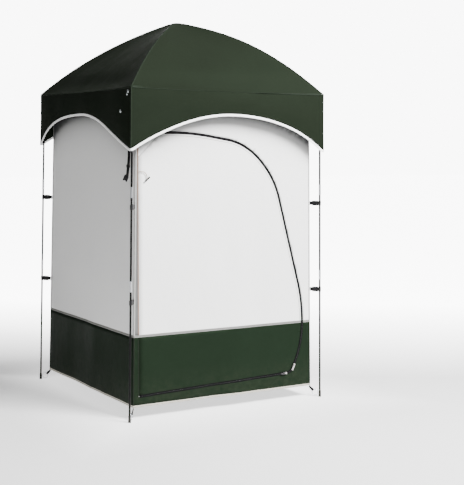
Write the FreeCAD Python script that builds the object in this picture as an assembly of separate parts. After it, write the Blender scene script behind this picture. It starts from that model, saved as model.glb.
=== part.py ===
"""Privacy shower tent: sectional pole frame, domed canopy, hung wall box and a D-shaped zip door.

Millimetres, +Z up. The origin is the centre of the footprint on the ground, and the door faces -Y.
"""
import FreeCAD, Part
import math
import os

os.makedirs("parts", exist_ok=True)

V = FreeCAD.Vector

# ---------------------------------------------------------------- driving dimensions
TENT_HEIGHT = 2145.0            # ground to the top of the canopy
FOOT_HALF = 612.0               # leg axis to the centre plane, on the ground
LEG_TOP_HALF = 590.0            # the same at the corner elbow: the legs lean in a little

LEG_TOP_Z = 1708.0              # where the leg ends in its elbow
POLE_R = 5.5
POLE_BORE_R = 3.0
CORD_R = 1.25
FERRULE_R = 6.3
FERRULE_BORE_R = 5.7
FERRULE_LENGTH = 56.0
LOWER_JOINT_Z = 710.0           # joint of the lower and middle leg sections
UPPER_JOINT_Z = 1196.0          # joint of the middle and upper leg sections

BOOT_HEIGHT = 36.0
BOOT_TOP_R = 6.9
BOOT_BOTTOM_R = 8.0
BOOT_SOLE = 3.0
BOOT_BORE_R = 5.7

ELBOW_Z = 1722.0
ELBOW_R = 8.5
ELBOW_BALL_R = 9.5
ELBOW_BORE_R = 5.7
ELBOW_DROP = 48.0               # length of the socket that holds the leg
ELBOW_REACH = 52.0              # length of the socket that holds the roof pole

CANOPY_HALF = 606.0
CANOPY_SKIN = 2.4
EAVE_Z = 1734.0
ROOF_MID_Z = 1992.0             # roof height halfway between the eave and the crown
VALANCE_TOP_Z = 1731.0
VALANCE_TIP_Z = 1408.0          # centre of the white binding at a corner
VALANCE_CROWN_Z = 1604.0        # centre of the white binding at mid span
BINDING_WIDTH = 13.0
BINDING_THICK = 4.0

HUB_R = 30.0
HUB_BOTTOM_Z = 2106.0
HUB_RIM_Z = 2123.0
HUB_TOP_Z = 2136.5
HUB_TOP_R = 10.0
ROOF_POLE_DROP = 12.0           # roof pole axis below the outside of the canopy
ROOF_POLE_END = 12.0            # distance from the tent's axis to the pole's inner end

WALL_SKIN = 2.0
WALL_BOTTOM_Z = 65.0
WALL_TOP_Z = 1788.0
WALL_BOTTOM_HALF = 571.0
WALL_TOP_HALF = 545.0
BAND_TOP_Z = 435.0
SEAM_TAPE_WIDTH = 12.0
TAPE_THICK = 1.0
HEM_WIDTH = 12.0
EDGE_BINDING = 9.0

HINGE_X = -537.0                # the door's sewn edge
DOOR_GAP = 1.5                  # slit between the door and the wall
DOOR_FOOT_LEFT = (-537.0, 121.0)    # the door's foot rises a little from the sewn edge
DOOR_FOOT_RIGHT = (432.0, 153.4)
DOOR_SIDE_X = 511.0
DOOR_KNEE_Z = 296.7             # where the two straights of the lower side would meet
DOOR_SIDE_R = 530.0             # the round stretch that the side slider follows
DOOR_TOP_Z = 1506.0
DOOR_HEAD_CUT_Z = 1376.0        # where the cut-off head corner meets the sewn edge
ZIP_GAP = 0.8                   # from the middle of the slit to each tape
ZIP_WIDTH = 7.0
ZIP_THICK = 1.4

UPPER_BUCKLE_Z = 1120.0
LOWER_BUCKLE_Z = 626.0

# Corner name to its side of the X and Y planes.
CORNERS = {"fl": (-1, -1), "fr": (1, -1), "bl": (-1, 1), "br": (1, 1)}
# Side name to the turn that brings the front onto it.
SIDES = {"front": 0.0, "right": 90.0, "back": 180.0, "left": 270.0}


# ---------------------------------------------------------------- helpers
def save(name, *solids):
    """Write one node; several solids stay separate."""
    shape = solids[0] if len(solids) == 1 else Part.makeCompound(list(solids))
    for solid in shape.Solids:
        if not solid.isValid():
            print("INVALID", name)
    shape.exportStep(f"parts/{name}.step")
    print(f"{name:24s} solids {len(shape.Solids):2d}  volume {shape.Volume / 1000.0:10.2f} cm3")


def turned(shape, degrees):
    """A copy turned about the tent's axis."""
    copy = shape.copy()
    copy.rotate(V(0, 0, 0), V(0, 0, 1), degrees)
    return copy


def rod(start, end, radius):
    """A solid round bar from one point to another."""
    return Part.makeCylinder(radius, (end - start).Length, start, end - start)


def tube(start, end, outer, inner):
    """A round tube from one point to another."""
    overrun = (end - start).normalize() * 1.0
    return rod(start, end, outer).cut(rod(start - overrun, end + overrun, inner))


def box(low, high):
    """An upright box from its two corners."""
    size = V(*high) - V(*low)
    return Part.makeBox(size.x, size.y, size.z, V(*low))


def front_wedge():
    """The quarter of the plan that belongs to the front side."""
    reach = 900.0
    below, height = -50.0, TENT_HEIGHT + 250.0
    points = [V(0, 0, below), V(-reach, -reach, below), V(reach, -reach, below)]
    return Part.Face(Part.makePolygon(points + points[:1])).extrude(V(0, 0, height))


def frustum(low_z, high_z, low_half, high_half):
    """A square block whose width changes with height."""
    def square(half, z):
        points = [V(-half, -half, z), V(half, -half, z), V(half, half, z), V(-half, half, z)]
        return Part.makePolygon(points + points[:1])
    return Part.makeLoft([square(low_half, low_z), square(high_half, high_z)], True, True)


def wall_half(z):
    """Outer half-width of the wall box at a height."""
    lean = (WALL_TOP_HALF - WALL_BOTTOM_HALF) / (WALL_TOP_Z - WALL_BOTTOM_Z)
    return WALL_BOTTOM_HALF + lean * (z - WALL_BOTTOM_Z)


def wall_ring(low_z, high_z, outside, inside):
    """All four sides of the wall box between two heights, as offsets from its outer face."""
    outer = frustum(low_z, high_z, wall_half(low_z) + outside, wall_half(high_z) + outside)
    inner = frustum(low_z - 1, high_z + 1, wall_half(low_z - 1) + inside, wall_half(high_z + 1) + inside)
    return outer.cut(inner)


def middle_block(low_z, high_z):
    """Everything between the two corner bindings of the front wall."""
    def outline(z):
        half = wall_half(z) - EDGE_BINDING
        points = [V(-half, -700, z), V(half, -700, z), V(half, 0, z), V(-half, 0, z)]
        return Part.makePolygon(points + points[:1])
    return Part.makeLoft([outline(low_z), outline(high_z)], True, True)


def front_part(ring):
    """The front side of a ring."""
    return ring.common(WEDGE)


def leg_half(z):
    """Half-spacing of the leg axes at a height."""
    return FOOT_HALF + (LEG_TOP_HALF - FOOT_HALF) * z / LEG_TOP_Z


def leg_point(corner, z):
    """A point on a leg's axis."""
    side_x, side_y = CORNERS[corner]
    half = leg_half(z)
    return V(side_x * half, side_y * half, z)


class CornerFrame:
    """Local directions at a corner: inward from the leg, tangent to it, and up."""

    def __init__(self, corner):
        side_x, side_y = CORNERS[corner]
        self.angle = math.degrees(math.atan2(-side_y, -side_x))

    def place(self, shape, origin):
        """Turn a shape made along +X to point inward, and move it to the origin given."""
        copy = shape.copy()
        copy.rotate(V(0, 0, 0), V(0, 0, 1), self.angle)
        copy.translate(origin)
        return copy


WEDGE = front_wedge()


# ---------------------------------------------------------------- roof curve
def circle_through(first, middle, last):
    """Centre and radius of the circle through three (run, height) points."""
    (x1, y1), (x2, y2), (x3, y3) = first, middle, last
    d = 2.0 * (x1 * (y2 - y3) + x2 * (y3 - y1) + x3 * (y1 - y2))
    s1, s2, s3 = x1 * x1 + y1 * y1, x2 * x2 + y2 * y2, x3 * x3 + y3 * y3
    centre_x = (s1 * (y2 - y3) + s2 * (y3 - y1) + s3 * (y1 - y2)) / d
    centre_y = (s1 * (x3 - x2) + s2 * (x1 - x3) + s3 * (x2 - x1)) / d
    return centre_x, centre_y, math.hypot(x1 - centre_x, y1 - centre_y)


def roof_panel():
    """The front quarter of the roof: a skin curved one way, cut off along both hips."""
    centre_y, centre_z, radius = circle_through((-CANOPY_HALF, EAVE_Z), (-CANOPY_HALF / 2, ROOF_MID_Z),
                                                (0.0, TENT_HEIGHT))
    inner = radius - CANOPY_SKIN

    def at(r, y):
        return V(-CANOPY_HALF, y, centre_z + math.sqrt(r * r - (y - centre_y) ** 2))
    eave_y = centre_y + (-CANOPY_HALF - centre_y) * inner / radius
    outer_arc = Part.Arc(at(radius, -CANOPY_HALF), at(radius, -CANOPY_HALF / 2), at(radius, 0.0)).toShape()
    inner_arc = Part.Arc(at(inner, 0.0), at(inner, -CANOPY_HALF / 2), at(inner, eave_y)).toShape()
    crown = Part.makeLine(at(radius, 0.0), at(inner, 0.0))
    eave = Part.makeLine(at(inner, eave_y), at(radius, -CANOPY_HALF))
    section = Part.Face(Part.Wire([outer_arc, crown, inner_arc, eave]))
    return section.extrude(V(2 * CANOPY_HALF, 0, 0)).common(WEDGE)


def roof_height(half):
    """Height of the outside of the roof over a point this far from the centre plane."""
    centre_y, centre_z, radius = circle_through((-CANOPY_HALF, EAVE_Z), (-CANOPY_HALF / 2, ROOF_MID_Z),
                                                (0.0, TENT_HEIGHT))
    return centre_z + math.sqrt(radius ** 2 - (-half - centre_y) ** 2)


class HipPole:
    """The bent roof pole over one corner, as an arc in the upright plane through the corner."""

    def __init__(self, corner):
        self.side_x, self.side_y = CORNERS[corner]
        mid_run = 430.0
        start = (LEG_TOP_HALF * math.sqrt(2.0), ELBOW_Z)
        middle = (mid_run, roof_height(mid_run / math.sqrt(2.0)) - ROOF_POLE_DROP * 1.12)
        end = (ROOF_POLE_END, roof_height(ROOF_POLE_END / math.sqrt(2.0)) - ROOF_POLE_DROP * 1.05)
        self.centre_run, self.centre_z, self.radius = circle_through(start, middle, end)
        self.start_angle = math.atan2(start[1] - self.centre_z, start[0] - self.centre_run)
        self.end_angle = math.atan2(end[1] - self.centre_z, end[0] - self.centre_run)

    def point(self, angle):
        run = self.centre_run + self.radius * math.cos(angle)
        flat = run / math.sqrt(2.0)
        return V(self.side_x * flat, self.side_y * flat, self.centre_z + self.radius * math.sin(angle))

    def direction(self, angle):
        """Unit vector along the pole, from the elbow towards the hub."""
        step = 0.0005
        return (self.point(angle + step) - self.point(angle - step)).normalize()

    def bar(self, from_angle, to_angle, radius):
        """A solid round bar that follows the arc."""
        middle = (from_angle + to_angle) / 2.0
        arc = Part.Arc(self.point(from_angle), self.point(middle), self.point(to_angle))
        path = Part.Wire([arc.toShape()])
        ring = Part.Wire([Part.Circle(self.point(from_angle), self.direction(from_angle), radius).toShape()])
        return path.makePipeShell([ring], True, False)

    def hollow(self, from_angle, to_angle, outer, inner):
        """A round tube that follows the arc."""
        over = 1.0 / self.radius
        sign = 1.0 if to_angle > from_angle else -1.0
        core = self.bar(from_angle - sign * over, to_angle + sign * over, inner)
        return self.bar(from_angle, to_angle, outer).cut(core)


# ---------------------------------------------------------------- frame
def make_frame():
    ferrules = []
    boots = []
    cords = []
    elbows = []
    sleeve_half = FERRULE_LENGTH / 2.0
    elbow_clear = 12.0                                  # from the elbow's centre to each pole end
    hub_block = Part.makeCylinder(HUB_R, HUB_RIM_Z - HUB_BOTTOM_Z, V(0, 0, HUB_BOTTOM_Z))
    hub_cap = Part.makeCone(HUB_R, HUB_TOP_R, HUB_TOP_Z - HUB_RIM_Z, V(0, 0, HUB_RIM_Z))
    hub = hub_block.fuse(hub_cap)
    for corner in CORNERS:
        levels = [BOOT_SOLE, LOWER_JOINT_Z, UPPER_JOINT_Z, LEG_TOP_Z]
        sections = [tube(leg_point(corner, low), leg_point(corner, high), POLE_R, POLE_BORE_R)
                    for low, high in zip(levels, levels[1:])]
        save(f"leg_{corner}", *sections)
        cords.append(rod(leg_point(corner, BOOT_SOLE + 1), leg_point(corner, LEG_TOP_Z - 1), CORD_R))
        for joint_z in (LOWER_JOINT_Z, UPPER_JOINT_Z):
            ferrules.append(tube(leg_point(corner, joint_z - sleeve_half),
                                 leg_point(corner, joint_z + sleeve_half), FERRULE_R, FERRULE_BORE_R))
        foot = leg_point(corner, 0.0)
        foot_cone = Part.makeCone(BOOT_BOTTOM_R, BOOT_TOP_R, BOOT_HEIGHT, foot)
        socket = rod(leg_point(corner, BOOT_SOLE), leg_point(corner, BOOT_HEIGHT + 5), BOOT_BORE_R)
        boots.append(foot_cone.cut(socket))

        pole = HipPole(corner)
        start = pole.start_angle + elbow_clear / pole.radius
        middle = (start + pole.end_angle) / 2.0
        halves = [pole.hollow(start, middle, POLE_R, POLE_BORE_R),
                  pole.hollow(middle, pole.end_angle, POLE_R, POLE_BORE_R)]
        save(f"roof_pole_{corner}", *halves)
        cords.append(pole.bar(start + 1.0 / pole.radius, pole.end_angle - 1.0 / pole.radius, CORD_R))
        half_turn = sleeve_half / pole.radius
        ferrules.append(pole.hollow(middle - half_turn, middle + half_turn, FERRULE_R, FERRULE_BORE_R))

        centre = leg_point(corner, ELBOW_Z)
        down = (leg_point(corner, 0.0) - centre).normalize()
        reach = pole.direction(pole.start_angle)
        body = rod(centre, centre + down * ELBOW_DROP, ELBOW_R)
        body = body.fuse(rod(centre, centre + reach * ELBOW_REACH, ELBOW_R))
        body = body.fuse(Part.makeSphere(ELBOW_BALL_R, centre))
        body = body.cut(rod(leg_point(corner, LEG_TOP_Z), centre + down * (ELBOW_DROP + 5), ELBOW_BORE_R))
        far = pole.start_angle + (ELBOW_REACH + 5) / pole.radius
        body = body.cut(pole.bar(start, far, ELBOW_BORE_R))
        elbows.append(body)
        inner_end = pole.end_angle
        hub = hub.cut(pole.bar(inner_end - 30.0 / pole.radius, inner_end, ELBOW_BORE_R))
    save("pole_ferrules", *ferrules)
    save("foot_boots", *boots)
    save("shock_cords", *cords)
    save("corner_elbows", *elbows)
    save("roof_hub", hub)


# ---------------------------------------------------------------- canopy
def valance_strip(low_offset, high_offset, outside, inside):
    """A band that follows the valance's arch, or runs from it up to the eave when high_offset is None."""
    half = CANOPY_HALF + 8.0
    rise = VALANCE_CROWN_Z - VALANCE_TIP_Z
    radius = (CANOPY_HALF ** 2 + rise ** 2) / (2.0 * rise)
    centre_z = VALANCE_CROWN_Z - radius

    def arch(offset):
        r = radius + offset
        edge_z = centre_z + math.sqrt(r * r - half * half)
        return V(-half, 0, edge_z), V(0, 0, centre_z + r), V(half, 0, edge_z)
    left, top, right = arch(low_offset)
    edges = [Part.Arc(left, top, right).toShape()]
    if high_offset is None:
        upper = [V(half, 0, VALANCE_TOP_Z), V(-half, 0, VALANCE_TOP_Z)]
        edges += [Part.makeLine(right, upper[0]), Part.makeLine(upper[0], upper[1]),
                  Part.makeLine(upper[1], left)]
    else:
        up_left, up_top, up_right = arch(high_offset)
        edges += [Part.makeLine(right, up_right), Part.Arc(up_right, up_top, up_left).toShape(),
                  Part.makeLine(up_left, left)]
    face = Part.Face(Part.Wire(edges))
    face.translate(V(0, -(CANOPY_HALF + outside), 0))
    return face.extrude(V(0, outside - inside, 0)).common(WEDGE)


def make_canopy():
    panel = roof_panel()
    valance = valance_strip(BINDING_WIDTH / 2, None, 0.0, -CANOPY_SKIN)
    lip = (BINDING_THICK - CANOPY_SKIN) / 2
    binding = valance_strip(-BINDING_WIDTH / 2, BINDING_WIDTH / 2, lip, -CANOPY_SKIN - lip)
    for side, degrees in SIDES.items():
        save(f"roof_{side}", turned(panel, degrees))
        save(f"valance_{side}", turned(valance, degrees))
    save("valance_binding", *[turned(binding, degrees) for degrees in SIDES.values()])

    # Press studs and tie tabs near the front end of the two side valances.
    studs = []
    ties = []
    stud_r, stud_thick = 8.0, 2.0
    stud_places = [(-573.0, 1712.0), (-496.0, 1612.0)]
    tie_y, tie_low_z, tie_high_z, tie_width, tie_thick = -556.0, 1612.0, 1672.0, 9.0, 1.4
    for side_x in (-1, 1):
        face_x = side_x * CANOPY_HALF
        for y, z in stud_places:
            studs.append(Part.makeCylinder(stud_r, stud_thick, V(face_x, y, z), V(side_x, 0, 0)))
        low_x, high_x = sorted((face_x, face_x + side_x * tie_thick))
        low_y, high_y = tie_y - tie_width / 2, tie_y + tie_width / 2
        ties.append(box((low_x, low_y, tie_low_z), (high_x, high_y, tie_high_z)))
    save("canopy_studs", *studs)
    save("canopy_ties", *ties)


# ---------------------------------------------------------------- walls and door
def rounded_outline(corners):
    """A closed outline in the XZ plane through corners given as (x, z, radius)."""
    count = len(corners)
    edges = []
    last_end = None
    first_start = None
    for index, (x, z, radius) in enumerate(corners):
        here = V(x, 0, z)
        before = V(corners[index - 1][0], 0, corners[index - 1][1])
        after = V(corners[(index + 1) % count][0], 0, corners[(index + 1) % count][1])
        to_before = (before - here).normalize()
        to_after = (after - here).normalize()
        if radius > 0:
            half_angle = to_before.getAngle(to_after) / 2.0
            reach = radius / math.tan(half_angle)
            start, end = here + to_before * reach, here + to_after * reach
            centre = here + (to_before + to_after).normalize() * (radius / math.sin(half_angle))
            middle = centre + (here - centre).normalize() * radius
        else:
            start = end = here
        if last_end is not None:
            edges.append(Part.makeLine(last_end, start))
        if radius > 0:
            edges.append(Part.Arc(start, middle, end).toShape())
        if first_start is None:
            first_start = start
        last_end = end
    edges.append(Part.makeLine(last_end, first_start))
    return Part.Wire(edges)


# The door: straight sewn edge, foot, rounded lower corner, leaning side, round shoulder, level
# head, and a cut-off head corner that clears the valance when the door swings out.
DOOR_OUTLINE = rounded_outline([
    (*DOOR_FOOT_LEFT, 0.0),
    (*DOOR_FOOT_RIGHT, 45.0),
    (DOOR_SIDE_X, DOOR_KNEE_Z, DOOR_SIDE_R),
    (DOOR_SIDE_X, 560.0, 850.0),
    (314.0, 1257.0, 480.0),
    (135.0, 1454.0, 380.0),
    (-213.0, DOOR_TOP_Z, 1300.0),
    (-405.0, DOOR_TOP_Z, 40.0),
    (HINGE_X, DOOR_HEAD_CUT_Z, 0.0),
])


def door_prism(offset):
    """The door's outline grown by an offset and run through the front wall."""
    mitred = 2
    wire = DOOR_OUTLINE.makeOffset2D(offset, mitred)
    face = Part.Face(Part.Wire(wire.Edges))
    face.translate(V(0, -700, 0))
    return face.extrude(V(0, 250, 0))


def make_walls_and_door():
    light = wall_ring(BAND_TOP_Z, WALL_TOP_Z, 0.0, -WALL_SKIN)
    for corner in CORNERS:                              # a notch for the roof pole at each top corner
        pole = HipPole(corner)
        light = light.cut(pole.bar(pole.start_angle, pole.end_angle, POLE_R + 2.0))
    green = wall_ring(WALL_BOTTOM_Z, BAND_TOP_Z, 0.0, -WALL_SKIN)
    front_light, front_green = front_part(light), front_part(green)
    hole = door_prism(DOOR_GAP / 2)
    leaf = door_prism(-DOOR_GAP / 2)
    save("wall_front", front_light.cut(hole))
    save("band_front", front_green.cut(hole))
    save("door_panel", front_light.common(leaf))
    save("door_band", front_green.common(leaf))
    side_bands = []
    for side in ("right", "back", "left"):
        save(f"wall_{side}", turned(front_light, SIDES[side]))
        side_bands.append(turned(front_green, SIDES[side]))
    save("band_sides", *side_bands)

    tape = wall_ring(BAND_TOP_Z, BAND_TOP_Z + SEAM_TAPE_WIDTH, TAPE_THICK, 0.0)
    clear = ZIP_WIDTH + 1.0
    front_tape = front_part(tape)
    tape_pieces = [front_tape.cut(door_prism(clear))]
    tape_pieces += [turned(front_tape, SIDES[side]) for side in ("right", "back", "left")]
    save("seam_tape", *[solid for piece in tape_pieces for solid in piece.Solids])
    save("door_seam_tape", front_tape.common(door_prism(-clear)))

    # Hem binding round the bottom edge, and a narrow binding up each corner.
    hem = wall_ring(WALL_BOTTOM_Z - 2.0, WALL_BOTTOM_Z, TAPE_THICK, -WALL_SKIN - TAPE_THICK)
    hem = hem.fuse(wall_ring(WALL_BOTTOM_Z, WALL_BOTTOM_Z + HEM_WIDTH, TAPE_THICK, 0.0))
    pieces = [turned(front_part(hem), degrees) for degrees in SIDES.values()]
    low, high = BAND_TOP_Z + SEAM_TAPE_WIDTH + 1.0, WALL_TOP_Z - 30.0
    strip = front_part(wall_ring(low, high, TAPE_THICK, 0.0))
    strip = strip.cut(middle_block(low - 1, high + 1))
    pieces += [turned(strip, degrees) for degrees in SIDES.values()]
    save("wall_binding", *[solid for piece in pieces for solid in piece.Solids])

    zip_ring = front_part(wall_ring(DOOR_FOOT_LEFT[1] - 30, DOOR_TOP_Z + 30, ZIP_THICK, 0.0))
    hinge_clear = box((HINGE_X + 1.0, -700, 0), (700, -400, 2000))
    wall_tape = zip_ring.common(door_prism(ZIP_WIDTH)).cut(door_prism(ZIP_GAP)).common(hinge_clear)
    door_tape = zip_ring.common(door_prism(-ZIP_GAP)).cut(door_prism(-ZIP_WIDTH)).common(
        box((HINGE_X + ZIP_WIDTH, -700, 0), (700, -400, 2000)))
    save("zip_tape_wall", wall_tape)
    save("zip_tape_door", door_tape)


# ---------------------------------------------------------------- zip sliders and pulls
SLIDER_LENGTH, SLIDER_WIDTH, SLIDER_THICK = 20.0, 11.0, 4.0
PULL_LENGTH, PULL_WIDTH, PULL_THICK = 30.0, 9.0, 1.6
SIDE_SLIDER_ANGLE = 27.0        # below level, seen from the centre of the side's round stretch
BOTTOM_SLIDER_X = 394.0
ZIP_FACE = ZIP_THICK + 0.4      # slider's back above the wall's outer face


def zip_slider():
    """A slider with its length along +Z, its back on Y=0 and its bail towards -Y."""
    body = box((-SLIDER_WIDTH / 2, -SLIDER_THICK, -SLIDER_LENGTH / 2),
               (SLIDER_WIDTH / 2, 0, SLIDER_LENGTH / 2))
    body = body.makeFillet(1.2, [edge for edge in body.Edges if abs(edge.tangentAt(0).y) > 0.9])
    bail = box((-2.0, -SLIDER_THICK - 4.6, -5.0), (2.0, -SLIDER_THICK, 5.0))
    slot = box((-3.0, -SLIDER_THICK - 3.4, -3.2), (3.0, -SLIDER_THICK + 0.2, 3.2))
    return body.fuse(bail).cut(slot)


def zip_pull():
    """A pull whose ring goes through the bail, hanging along -Z from the bail's bar."""
    bar_y, bar_r = -SLIDER_THICK - 1.7, 1.0
    front_y, back_y = bar_y - PULL_THICK / 2, bar_y + PULL_THICK / 2
    side_x, arm_x, arm_z = PULL_WIDTH / 2, 2.6, -6.4
    plate = box((-side_x, front_y, -PULL_LENGTH), (side_x, back_y, arm_z))
    arm_left = box((-side_x, front_y, arm_z - 0.2), (-arm_x, back_y, bar_r))
    arm_right = box((arm_x, front_y, arm_z - 0.2), (side_x, back_y, bar_r))
    bar = rod(V(-side_x, bar_y, 0), V(side_x, bar_y, 0), bar_r)
    grip_hole = rod(V(0, bar_y - 3, -PULL_LENGTH + 5), V(0, bar_y + 3, -PULL_LENGTH + 5), 1.8)
    return plate.fuse(arm_left).fuse(arm_right).fuse(bar).cut(grip_hole)


def make_zip_hardware():
    """Both sliders where they meet, near the door's lower corner, turned along the zip."""
    lean = math.degrees(math.atan((WALL_BOTTOM_HALF - WALL_TOP_HALF) / (WALL_TOP_Z - WALL_BOTTOM_Z)))

    def placed(shape, x, z, turn_degrees):
        copy = shape.copy()
        copy.rotate(V(0, 0, 0), V(0, 1, 0), turn_degrees)
        copy.rotate(V(0, 0, 0), V(1, 0, 0), -lean)
        copy.translate(V(x, -(wall_half(z) + ZIP_FACE), z))
        return copy

    knee_turn = math.atan2(DOOR_KNEE_Z - DOOR_FOOT_RIGHT[1], DOOR_SIDE_X - DOOR_FOOT_RIGHT[0])
    knee_reach = DOOR_SIDE_R * math.tan((math.pi / 2 - knee_turn) / 2)
    centre_x, centre_z = DOOR_SIDE_X - DOOR_SIDE_R, DOOR_KNEE_Z + knee_reach
    angle = math.radians(SIDE_SLIDER_ANGLE)
    side_x, side_z = centre_x + DOOR_SIDE_R * math.cos(angle), centre_z - DOOR_SIDE_R * math.sin(angle)
    print("side slider turns about", round(centre_x, 2), round(centre_z, 2))
    save("slider_side", placed(zip_slider(), side_x, side_z, SIDE_SLIDER_ANGLE))
    save("pull_side", placed(zip_pull(), side_x, side_z, SIDE_SLIDER_ANGLE))

    run, rise = DOOR_FOOT_RIGHT[0] - DOOR_FOOT_LEFT[0], DOOR_FOOT_RIGHT[1] - DOOR_FOOT_LEFT[1]
    foot_turn = 90.0 - math.degrees(math.atan2(rise, run))
    foot_z = DOOR_FOOT_LEFT[1] + rise / run * (BOTTOM_SLIDER_X - DOOR_FOOT_LEFT[0])
    print("side slider at", round(side_x, 2), round(side_z, 2))
    print("bottom slider at", BOTTOM_SLIDER_X, round(foot_z, 2))
    save("slider_bottom", placed(zip_slider(), BOTTOM_SLIDER_X, foot_z, foot_turn))
    save("pull_bottom", placed(zip_pull(), BOTTOM_SLIDER_X, foot_z, foot_turn))


# ---------------------------------------------------------------- door tie
def make_tie():
    """An elastic loop sewn to the door's edge, with a toggle bar on its end."""
    cord_r = 1.6
    level = -(wall_half(1280.0) + 5.2)
    route = [V(-534.0, level, 1301.0), V(-508.0, level, 1303.0),
             V(-490.0, level, 1290.0), V(-486.0, level, 1268.0)]
    edges = []
    position = route[0]
    for before, corner, after in zip(route, route[1:], route[2:]):
        to_before, to_after = (before - corner), (after - corner)
        half_angle = to_before.getAngle(to_after) / 2.0
        radius = 0.45 * min(to_before.Length, to_after.Length) * math.tan(half_angle)
        reach = radius / math.tan(half_angle)
        start, end = corner + to_before.normalize() * reach, corner + to_after.normalize() * reach
        centre = corner + (to_before + to_after).normalize() * (radius / math.sin(half_angle))
        middle = centre + (corner - centre).normalize() * radius
        print("tie loop bend radius", round(radius, 1))
        edges += [Part.makeLine(position, start), Part.Arc(start, middle, end).toShape()]
        position = end
    edges.append(Part.makeLine(position, route[-1]))
    path = Part.Wire(edges)
    ring = Part.Wire([Part.Circle(route[0], route[1] - route[0], cord_r).toShape()])
    loop = path.makePipeShell([ring], True, False)
    print("tie loop length", round(path.Length, 1), "volume ratio",
          round(loop.Volume / (math.pi * cord_r ** 2 * path.Length), 3))
    save("tie_loop", loop)

    toggle_r, toggle_half = 4.0, 18.0
    centre = V(-486.0, level, 1268.0 - toggle_r - 2.8)
    lean = V(math.cos(math.radians(41)), 0, math.sin(math.radians(41)))
    bar = rod(centre - lean * toggle_half, centre + lean * toggle_half, toggle_r)
    waist = tube(centre - lean * 5.0, centre + lean * 5.0, toggle_r + 1.0, toggle_r - 1.0)
    save("tie_toggle", bar.cut(waist))


# ---------------------------------------------------------------- buckles and straps
WEB_HEIGHT = 25.0               # webbing width, which stands upright
LOOP_BORE_R, LOOP_R = 5.9, 7.6
SOCKET_START, SOCKET_END = 11.0, 33.0
SOCKET_HALF_HEIGHT, SOCKET_HALF_THICK = 14.0, 4.2
PRONG_START, PLUG_START, PLUG_END = 19.5, 33.5, 43.0


def buckle_pieces():
    """Loop, socket and plug with the leg's axis at the origin and the wall towards +X."""
    loop = tube(V(0, 0, -WEB_HEIGHT / 2), V(0, 0, WEB_HEIGHT / 2), LOOP_R, LOOP_BORE_R)
    neck = box((LOOP_R - 0.9, -1.5, -WEB_HEIGHT / 2), (SOCKET_START, 1.5, WEB_HEIGHT / 2))
    loop = loop.fuse(neck)
    socket = box((SOCKET_START, -SOCKET_HALF_THICK, -SOCKET_HALF_HEIGHT),
                 (SOCKET_END, SOCKET_HALF_THICK, SOCKET_HALF_HEIGHT))
    socket = socket.makeFillet(1.5, [edge for edge in socket.Edges if abs(edge.tangentAt(0).x) > 0.9])
    socket = socket.cut(box((16.0, -2.6, -11.0), (SOCKET_END + 1, 2.6, 11.0)))
    for sign in (-1, 1):
        low_z, high_z = sorted((sign * 10.0, sign * 15.0))
        socket = socket.cut(box((19.0, -2.6, low_z), (27.0, 2.6, high_z)))
    plug = box((PLUG_START, -3.8, -13.5), (PLUG_END, 3.8, 13.5))
    plug = plug.makeFillet(1.2, [edge for edge in plug.Edges if abs(edge.tangentAt(0).x) > 0.9])
    for low_z, high_z in ((-10.2, -6.4), (-1.8, 1.8), (6.4, 10.2)):
        plug = plug.fuse(box((PRONG_START, 1.0, low_z), (PLUG_START + 0.5, 2.4, high_z)))
    slot = box((PLUG_START - 1, -1.0, -WEB_HEIGHT / 2 + 0.4), (PLUG_END + 1, 1.0, WEB_HEIGHT / 2 - 0.4))
    return loop, socket, plug.cut(slot)


def make_buckles():
    loop, socket, plug = buckle_pieces()
    loops, sockets, straps = [], [], []
    strap_half_height = 10.5
    for corner in CORNERS:
        frame = CornerFrame(corner)
        for level, z in (("upper", UPPER_BUCKLE_Z), ("lower", LOWER_BUCKLE_Z)):
            origin = leg_point(corner, z)
            to_wall = (leg_half(z) - wall_half(z)) * math.sqrt(2.0)
            loops.append(frame.place(loop, origin))
            sockets.append(frame.place(socket, origin))
            save(f"buckle_plug_{corner}_{level}", frame.place(plug, origin))
            strap = box((PLUG_START + 2.4, -0.8, -strap_half_height), (to_wall - 2.0, 0.8, strap_half_height))
            straps.append(frame.place(strap, origin))
    save("pole_loops", *loops)
    save("buckle_sockets", *sockets)
    save("wall_straps", *straps)


RING_R, RING_WIRE_R = 17.0, 1.5
RING_OUT, RING_Z = 17.5, 36.0   # where the ring passes through its tab: out from the wall's corner, and up
FOLD_R, FOLD_BORE_R, FOLD_HALF_WIDTH = 4.2, 2.7, 5.0


def make_corner_tabs():
    """A webbing tab on each bottom corner of the walls, and the steel ring that it pulls to the foot."""
    tabs = []
    for corner in CORNERS:
        frame = CornerFrame(corner)
        side_x, side_y = CORNERS[corner]
        half = wall_half(WALL_BOTTOM_Z)
        origin = V(side_x * half, side_y * half, 0)
        along = V(-1, 0, -1).normalize()                # from the wall's corner down to the foot
        across = V(-1, 0, 1).normalize()
        hold = V(-RING_OUT, 0, RING_Z)
        root = hold - along * 33.0
        narrow, wide = 4.5, 8.0
        near_fold = hold - along * (FOLD_R - 1.0)
        outline = [root - across * narrow, root + across * narrow,
                   near_fold + across * wide, near_fold - across * wide]
        plate = Part.Face(Part.makePolygon(outline + outline[:1])).extrude(V(0, 2.4, 0))
        plate.translate(V(0, -1.2, 0))
        fold = rod(hold - across * FOLD_HALF_WIDTH, hold + across * FOLD_HALF_WIDTH, FOLD_R)
        bore = rod(hold - across * 20.0, hold + across * 20.0, FOLD_BORE_R)
        tabs.append(frame.place(plate.fuse(fold).cut(bore), origin))
        ring = Part.makeTorus(RING_R, RING_WIRE_R, hold + along * RING_R, V(0, 1, 0))
        save(f"corner_ring_{corner}", frame.place(ring, origin))
    save("corner_tabs", *tabs)


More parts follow.
